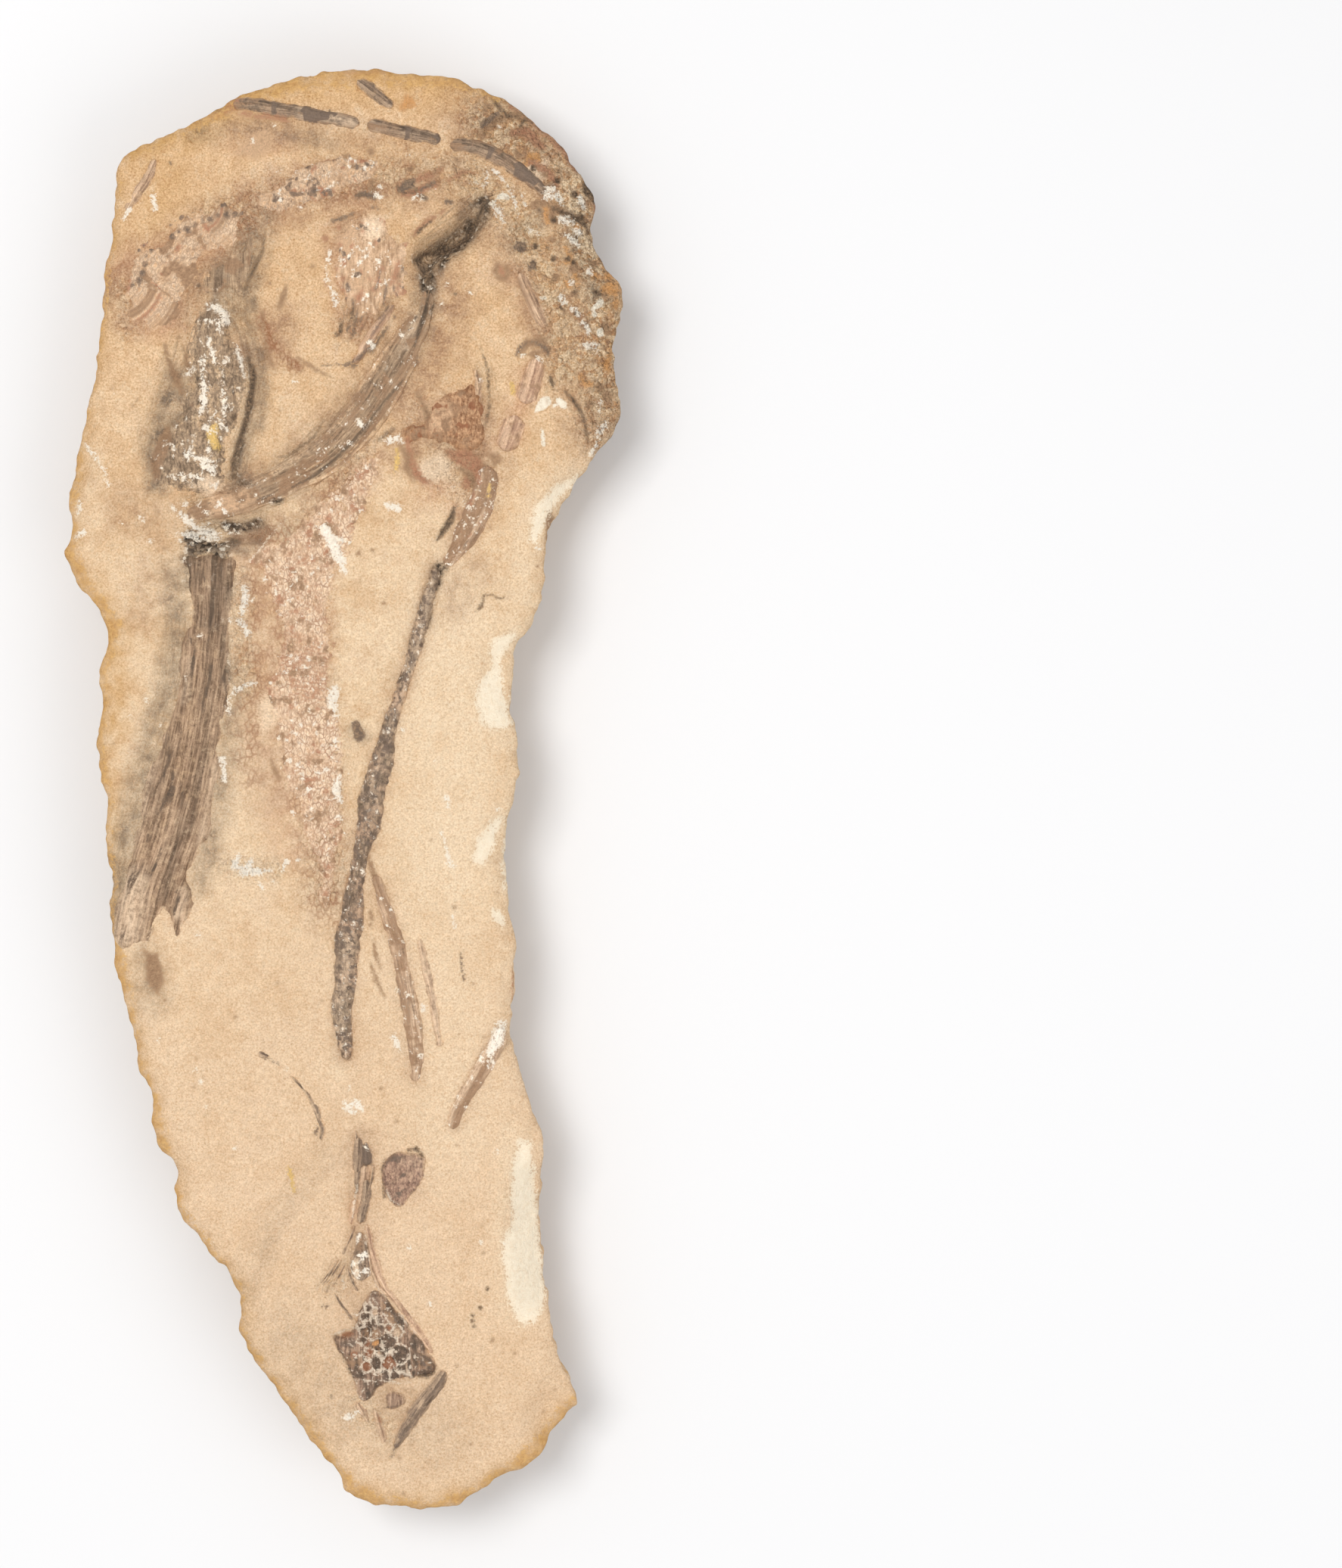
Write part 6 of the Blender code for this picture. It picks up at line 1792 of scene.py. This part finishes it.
# Plates and sheets: how far each rises, its slot, then its outline.
PLATES = {
    "fin_scales": (1.3, "red_bone", [
        (-29.6, 204.6), (-24, 207.4), (-19, 212), (-13, 214.6), (-6, 216.6), (2, 217.6), (9, 217.4),
        (13, 214), (10, 209.6), (3, 206), (-4, 202.6), (-12, 199.4), (-20, 197.4), (-27, 197),
        (-30, 199.6)]),
    "fin_lobe": (2.0, "red_bone", [
        (-78, 176), (-76.4, 180), (-73.6, 183.4), (-69, 187), (-63, 191.4), (-58, 195.6), (-52, 199.4),
        (-45, 201.4), (-38, 203), (-33.6, 202.6), (-32.4, 199), (-33.4, 193.6), (-37, 188),
        (-42.4, 185.4), (-47.6, 183.4), (-50, 177.4), (-52, 170.6), (-54.4, 164), (-58.4, 158.8),
        (-64, 156.4), (-70, 157), (-74.6, 160.4), (-77.4, 166), (-78.2, 171)]),
    "cheek_bone": (1.3, "dark_bone", [
        (-45.6, 181), (-41, 182.8), (-36.4, 184.4), (-33.6, 190), (-30.6, 191), (-28.8, 185),
        (-30.6, 177.6), (-33, 171.6), (-35.6, 167.8), (-42, 168.6), (-48, 168.4), (-49.6, 171.6),
        (-47.8, 176.6)]),
    "gill_plate": (1.6, "grey_bone", [
        (-4.6, 186), (-2.6, 192), (1, 196), (6, 199), (11, 199.4), (15, 197), (19, 191.6), (22.4, 186),
        (24.2, 180), (24.2, 174), (22, 169.6), (18.4, 169), (15, 168), (12, 163.4), (8.6, 160),
        (5, 158.4), (1.6, 160), (-1, 164), (-2.4, 170), (-4.6, 176), (-6, 181)]),
    "chalky_bone": (2.2, "chalky_bone", [
        (-47.6, 166), (-40.4, 165.4), (-37.6, 161.6), (-38.4, 155), (-34.6, 148.6), (-32.8, 142.6),
        (-33.6, 134.6), (-35.8, 125), (-38.6, 117), (-40.6, 110.4), (-40.4, 104.6), (-46, 101.4),
        (-54, 99.6), (-62, 101.4), (-66.4, 104), (-67.3, 110), (-66.8, 116), (-63.4, 121), (-59.6, 125),
        (-57, 132), (-53.6, 138), (-54.4, 146), (-55.6, 152), (-52.6, 159.6)]),
    "amber_plate": (1.6, "amber_bone", [
        (20, 123.6), (26, 126), (30, 133.6), (38, 137), (44, 140.4), (47.4, 136), (49.4, 129),
        (48.4, 120.4), (45, 115.6), (40, 114.6), (36, 117.6), (28, 119), (22, 117.4)]),
    "striated_shaft": (1.6, "shaft_bone", [
        (-54.6, 80), (-54.8, 72), (-52.4, 61), (-56.6, 51), (-58, 38), (-60.4, 27), (-64.4, 15.6),
        (-69.6, 2), (-71.6, -10.6), (-74.8, -27), (-79, -43), (-79.6, -51), (-75, -55.4), (-68.4, -54),
        (-65.6, -46), (-62.4, -40.8), (-59.6, -46), (-57.6, -51.6), (-55, -45), (-51.4, -39.6),
        (-53, -31), (-50.4, -22), (-46, -14.6), (-44.4, -6), (-43, 5), (-41.4, 18), (-38.6, 32),
        (-38.8, 46), (-38.4, 60), (-37.6, 72), (-38, 79)]),
    "flank_scales": (0.8, "scale_sheet", [
        (-33.6, 78.4), (-29, 84.4), (-20, 87), (-14, 93), (-8, 100), (0, 107), (6, 112), (10.6, 115.4),
        (13, 110), (10.6, 103), (8.4, 96), (6, 88), (2, 80), (-2, 70), (-3.4, 60), (-4, 44), (-3.6, 31),
        (0.6, 18), (2, 6), (0.6, -8), (-1.2, -22), (-3.4, -38), (-7, -43), (-10, -38), (-9, -30),
        (-15.6, -16), (-19.6, -1), (-23.4, 9), (-25, 20), (-27.4, 34), (-23, 46), (-23, 56), (-26.6, 67),
        (-30, 74)]),
    "oval_bone": (1.5, "red_bone", [
        (13.4, -130.6), (16, -127.2), (20, -125.6), (24.4, -124.8), (27.6, -127), (28.2, -131),
        (27, -135.4), (24, -140), (20, -143.4), (16.4, -142.6), (13.8, -138.6)]),
    "skull_bones": (2.0, "skull_bone", [
        (-4, -189), (1, -186.8), (4.4, -183), (6, -178), (8.4, -173), (12, -172), (16, -176), (20, -181),
        (24, -186), (27.4, -190.6), (31, -197.4), (29.6, -201), (24.6, -203), (18, -203.6), (12.4, -205),
        (9.6, -209.4), (5.6, -209.6), (2.8, -204), (0.6, -197), (-2.4, -192.4)]),
    "jaw_plate": (1.1, "skull_bone", [
        (13.8, -208.6), (17, -207), (20.4, -208.6), (21.4, -211.4), (19, -213.4), (16, -213.8),
        (14.2, -211.4)]),
}

# Deep, body and light colours of each finish, then what else bone_material takes.
LOOKS = {
    "grey_bone": ((84, 71, 60), (134, 112, 93), (174, 150, 126),
                  {"stain": linear(166, 132, 104), "dusty": 0.15}),
    "dark_bone": ((92, 77, 65), (140, 117, 98), (182, 156, 130), {"dusty": 0.3}),
    "brown_bone": ((124, 98, 78), (184, 150, 122), (214, 183, 153), {"dusty": 0.5}),
    "red_bone": ((146, 112, 92), (196, 158, 130), (222, 190, 160), {"strand_size": 1.3, "dusty": 0.5}),
    "chalky_bone": ((116, 98, 80), (154, 130, 106), (186, 160, 132),
                    {"stretch": 0.5, "blend": 2.4, "dusty": 0.6}),
    "amber_bone": ((130, 90, 62), (178, 134, 100), (208, 168, 130),
                   {"stain": linear(166, 112, 70), "stained": 0.6, "stretch": 0.6, "blend": 0.8,
                    "dusty": 0.15}),
    "shaft_bone": ((106, 83, 65), (154, 125, 99), (190, 160, 132), {"stretch": 0.08, "dusty": 0.35}),
    "scale_sheet": ((184, 140, 108), (224, 188, 154), (244, 220, 190),
                    {"stain": linear(218, 180, 146), "stretch": 0.6, "blend": 2.8, "dusty": 0.3,
                     "net": (1.7, linear(166, 120, 90), 0.8)}),
    "skull_bone": ((104, 82, 68), (158, 128, 107), (196, 166, 140), {"dusty": 0.2, "blend": 0.5}),
    "rod_bone": ((84, 72, 60), (144, 122, 101), (186, 160, 134),
                 {"stain": linear(200, 165, 136), "stained": 0.8, "dusty": 0.2, "strand_size": 1.4,
                  "stretch": 0.4}),
    "arch_finish": ((122, 99, 79), (162, 135, 108), (196, 168, 137), {"blend": 2.6, "dusty": 0.6}),
    "plum_bone": ((112, 86, 74), (160, 127, 108), (192, 158, 134),
                  {"dusty": 0.2, "stretch": 0.6, "blend": 0.5}),
    "fin_bone": ((176, 140, 108), (206, 168, 132), (224, 188, 150),
                 {"strand_size": 1.1, "stretch": 0.6, "blend": 0.9, "dusty": 0.3,
                  "net": (1.4, linear(140, 106, 80), 0.55)}),
    "gill_bone": ((172, 138, 108), (206, 171, 138), (226, 194, 162),
                  {"strand_size": 1.2, "stretch": 0.25, "blend": 2.0, "dusty": 0.5}),
}
# How far in from its edge a plate reaches its full height, where that isn't PLAIN_CROWN.
PLAIN_CROWN = 1.2
CROWNS = {
    "fin_lobe": 9.0, "gill_plate": 8.0, "fin_scales": 4.0, "chalky_bone": 5.0, "striated_shaft": 3.0,
    "flank_scales": 4.0, "amber_plate": 3.0, "cheek_bone": 6.0,
}
SPACINGS = {"skull_bones": 0.38}
GRAIN_LINES = {"striated_shaft": SHAFT_LINE, "fin_lobe": FIN_EDGE}
FINISH_OF = {
    "fin_lobe": "fin_bone", "fin_scales": "fin_bone", "gill_plate": "gill_bone", "long_rod": "rod_bone",
    "arch_bone": "arch_finish", "cheek_bone": "arch_finish", "oval_bone": "plum_bone",
}


def build_bones():
    """Every bone, splinter, plate and sheet of scales, with its finish and relief."""
    finishes = {}
    for name, (deep, body, light, more) in LOOKS.items():
        finishes[name] = bone_material(name + "_finish", linear(*deep), linear(*body), linear(*light), **more)
    for name, (rise, slot, stations) in {**RODS, **SPLINTERS}.items():
        finish = finishes[FINISH_OF.get(name, slot)]
        relief = HEAD_BAR if name.startswith("head_bar") else RELIEFS.get(name, [fibres(1.8, 0.35, 170)])
        rod(name, stations, rise, finish, relief)
    for name, (rise, slot, outline) in PLATES.items():
        finish = finishes[FINISH_OF.get(name, slot)]
        crown = CROWNS.get(name, PLAIN_CROWN)
        ragged = 0.16 * CROWNS.get(name, 2.5) + 0.5
        plate(name, outline, rise, finish, RELIEFS.get(name, ()), crown, ragged)


# ---------------------------------------------------------------- floor, light and camera
FLOOR_HALF = 2.2         # metres


def build_stage():
    """The pale floor."""
    signs = np.array([(-1, -1, 0), (1, -1, 0), (1, 1, 0), (-1, 1, 0)], float)
    s = Shader("studio_floor")
    s.surface.inputs["Base Color"].default_value = linear(226, 227, 229)
    s.surface.inputs["Roughness"].default_value = 0.9
    floor = new_object("studio_floor", signs * FLOOR_HALF, [[0, 1, 2, 3]], None, s.material)


def area_light(name, place, size, power, colour):
    """A soft square lamp that points at the slab; its place and size are metres and its power watts."""
    light = bpy.data.lights.new(name, "AREA")
    light.shape = "SQUARE"
    light.size = size
    light.energy = power
    light.color = colour
    obj = bpy.data.objects.new(name, light)
    obj.location = place
    obj.rotation_euler = (-Vector(place)).to_track_quat("-Z", "Y").to_euler()
    bpy.context.scene.collection.objects.link(obj)


def build_light():
    """The key and fill lamps and the pale surroundings."""
    area_light("key", (-0.52, 0.34, 1.75), 0.8, 19.5, (1.0, 0.985, 0.965))
    area_light("fill", (1.2, -0.9, 1.3), 1.3, 10.0, (1.0, 0.99, 0.98))
    world_light = bpy.data.worlds.new("studio")
    world_light.use_nodes = True
    background = world_light.node_tree.nodes["Background"]
    background.inputs["Color"].default_value = (1.0, 0.99, 0.98, 1)
    background.inputs["Strength"].default_value = 0.66
    bpy.context.scene.world = world_light


def build_camera():
    """The camera over the split face, looking straight down."""
    camera = bpy.data.cameras.new("camera")
    camera.lens = LENS
    camera.sensor_width = SENSOR
    camera.clip_end = 20.0
    obj = bpy.data.objects.new("camera", camera)
    away = VIEW_HEIGHT * LENS / SENSOR
    centre_x, centre_y = VIEW_CENTRE
    obj.location = ((centre_x - CENTRE_X) * MM, (centre_y - CENTRE_Y) * MM, (FACE_LEVEL + away) * MM)
    bpy.context.scene.collection.objects.link(obj)
    bpy.context.scene.camera = obj


def main():
    bpy.context.scene.view_settings.view_transform = "Standard"
    build_stone()
    build_bones()
    build_stage()
    build_light()
    build_camera()


main()
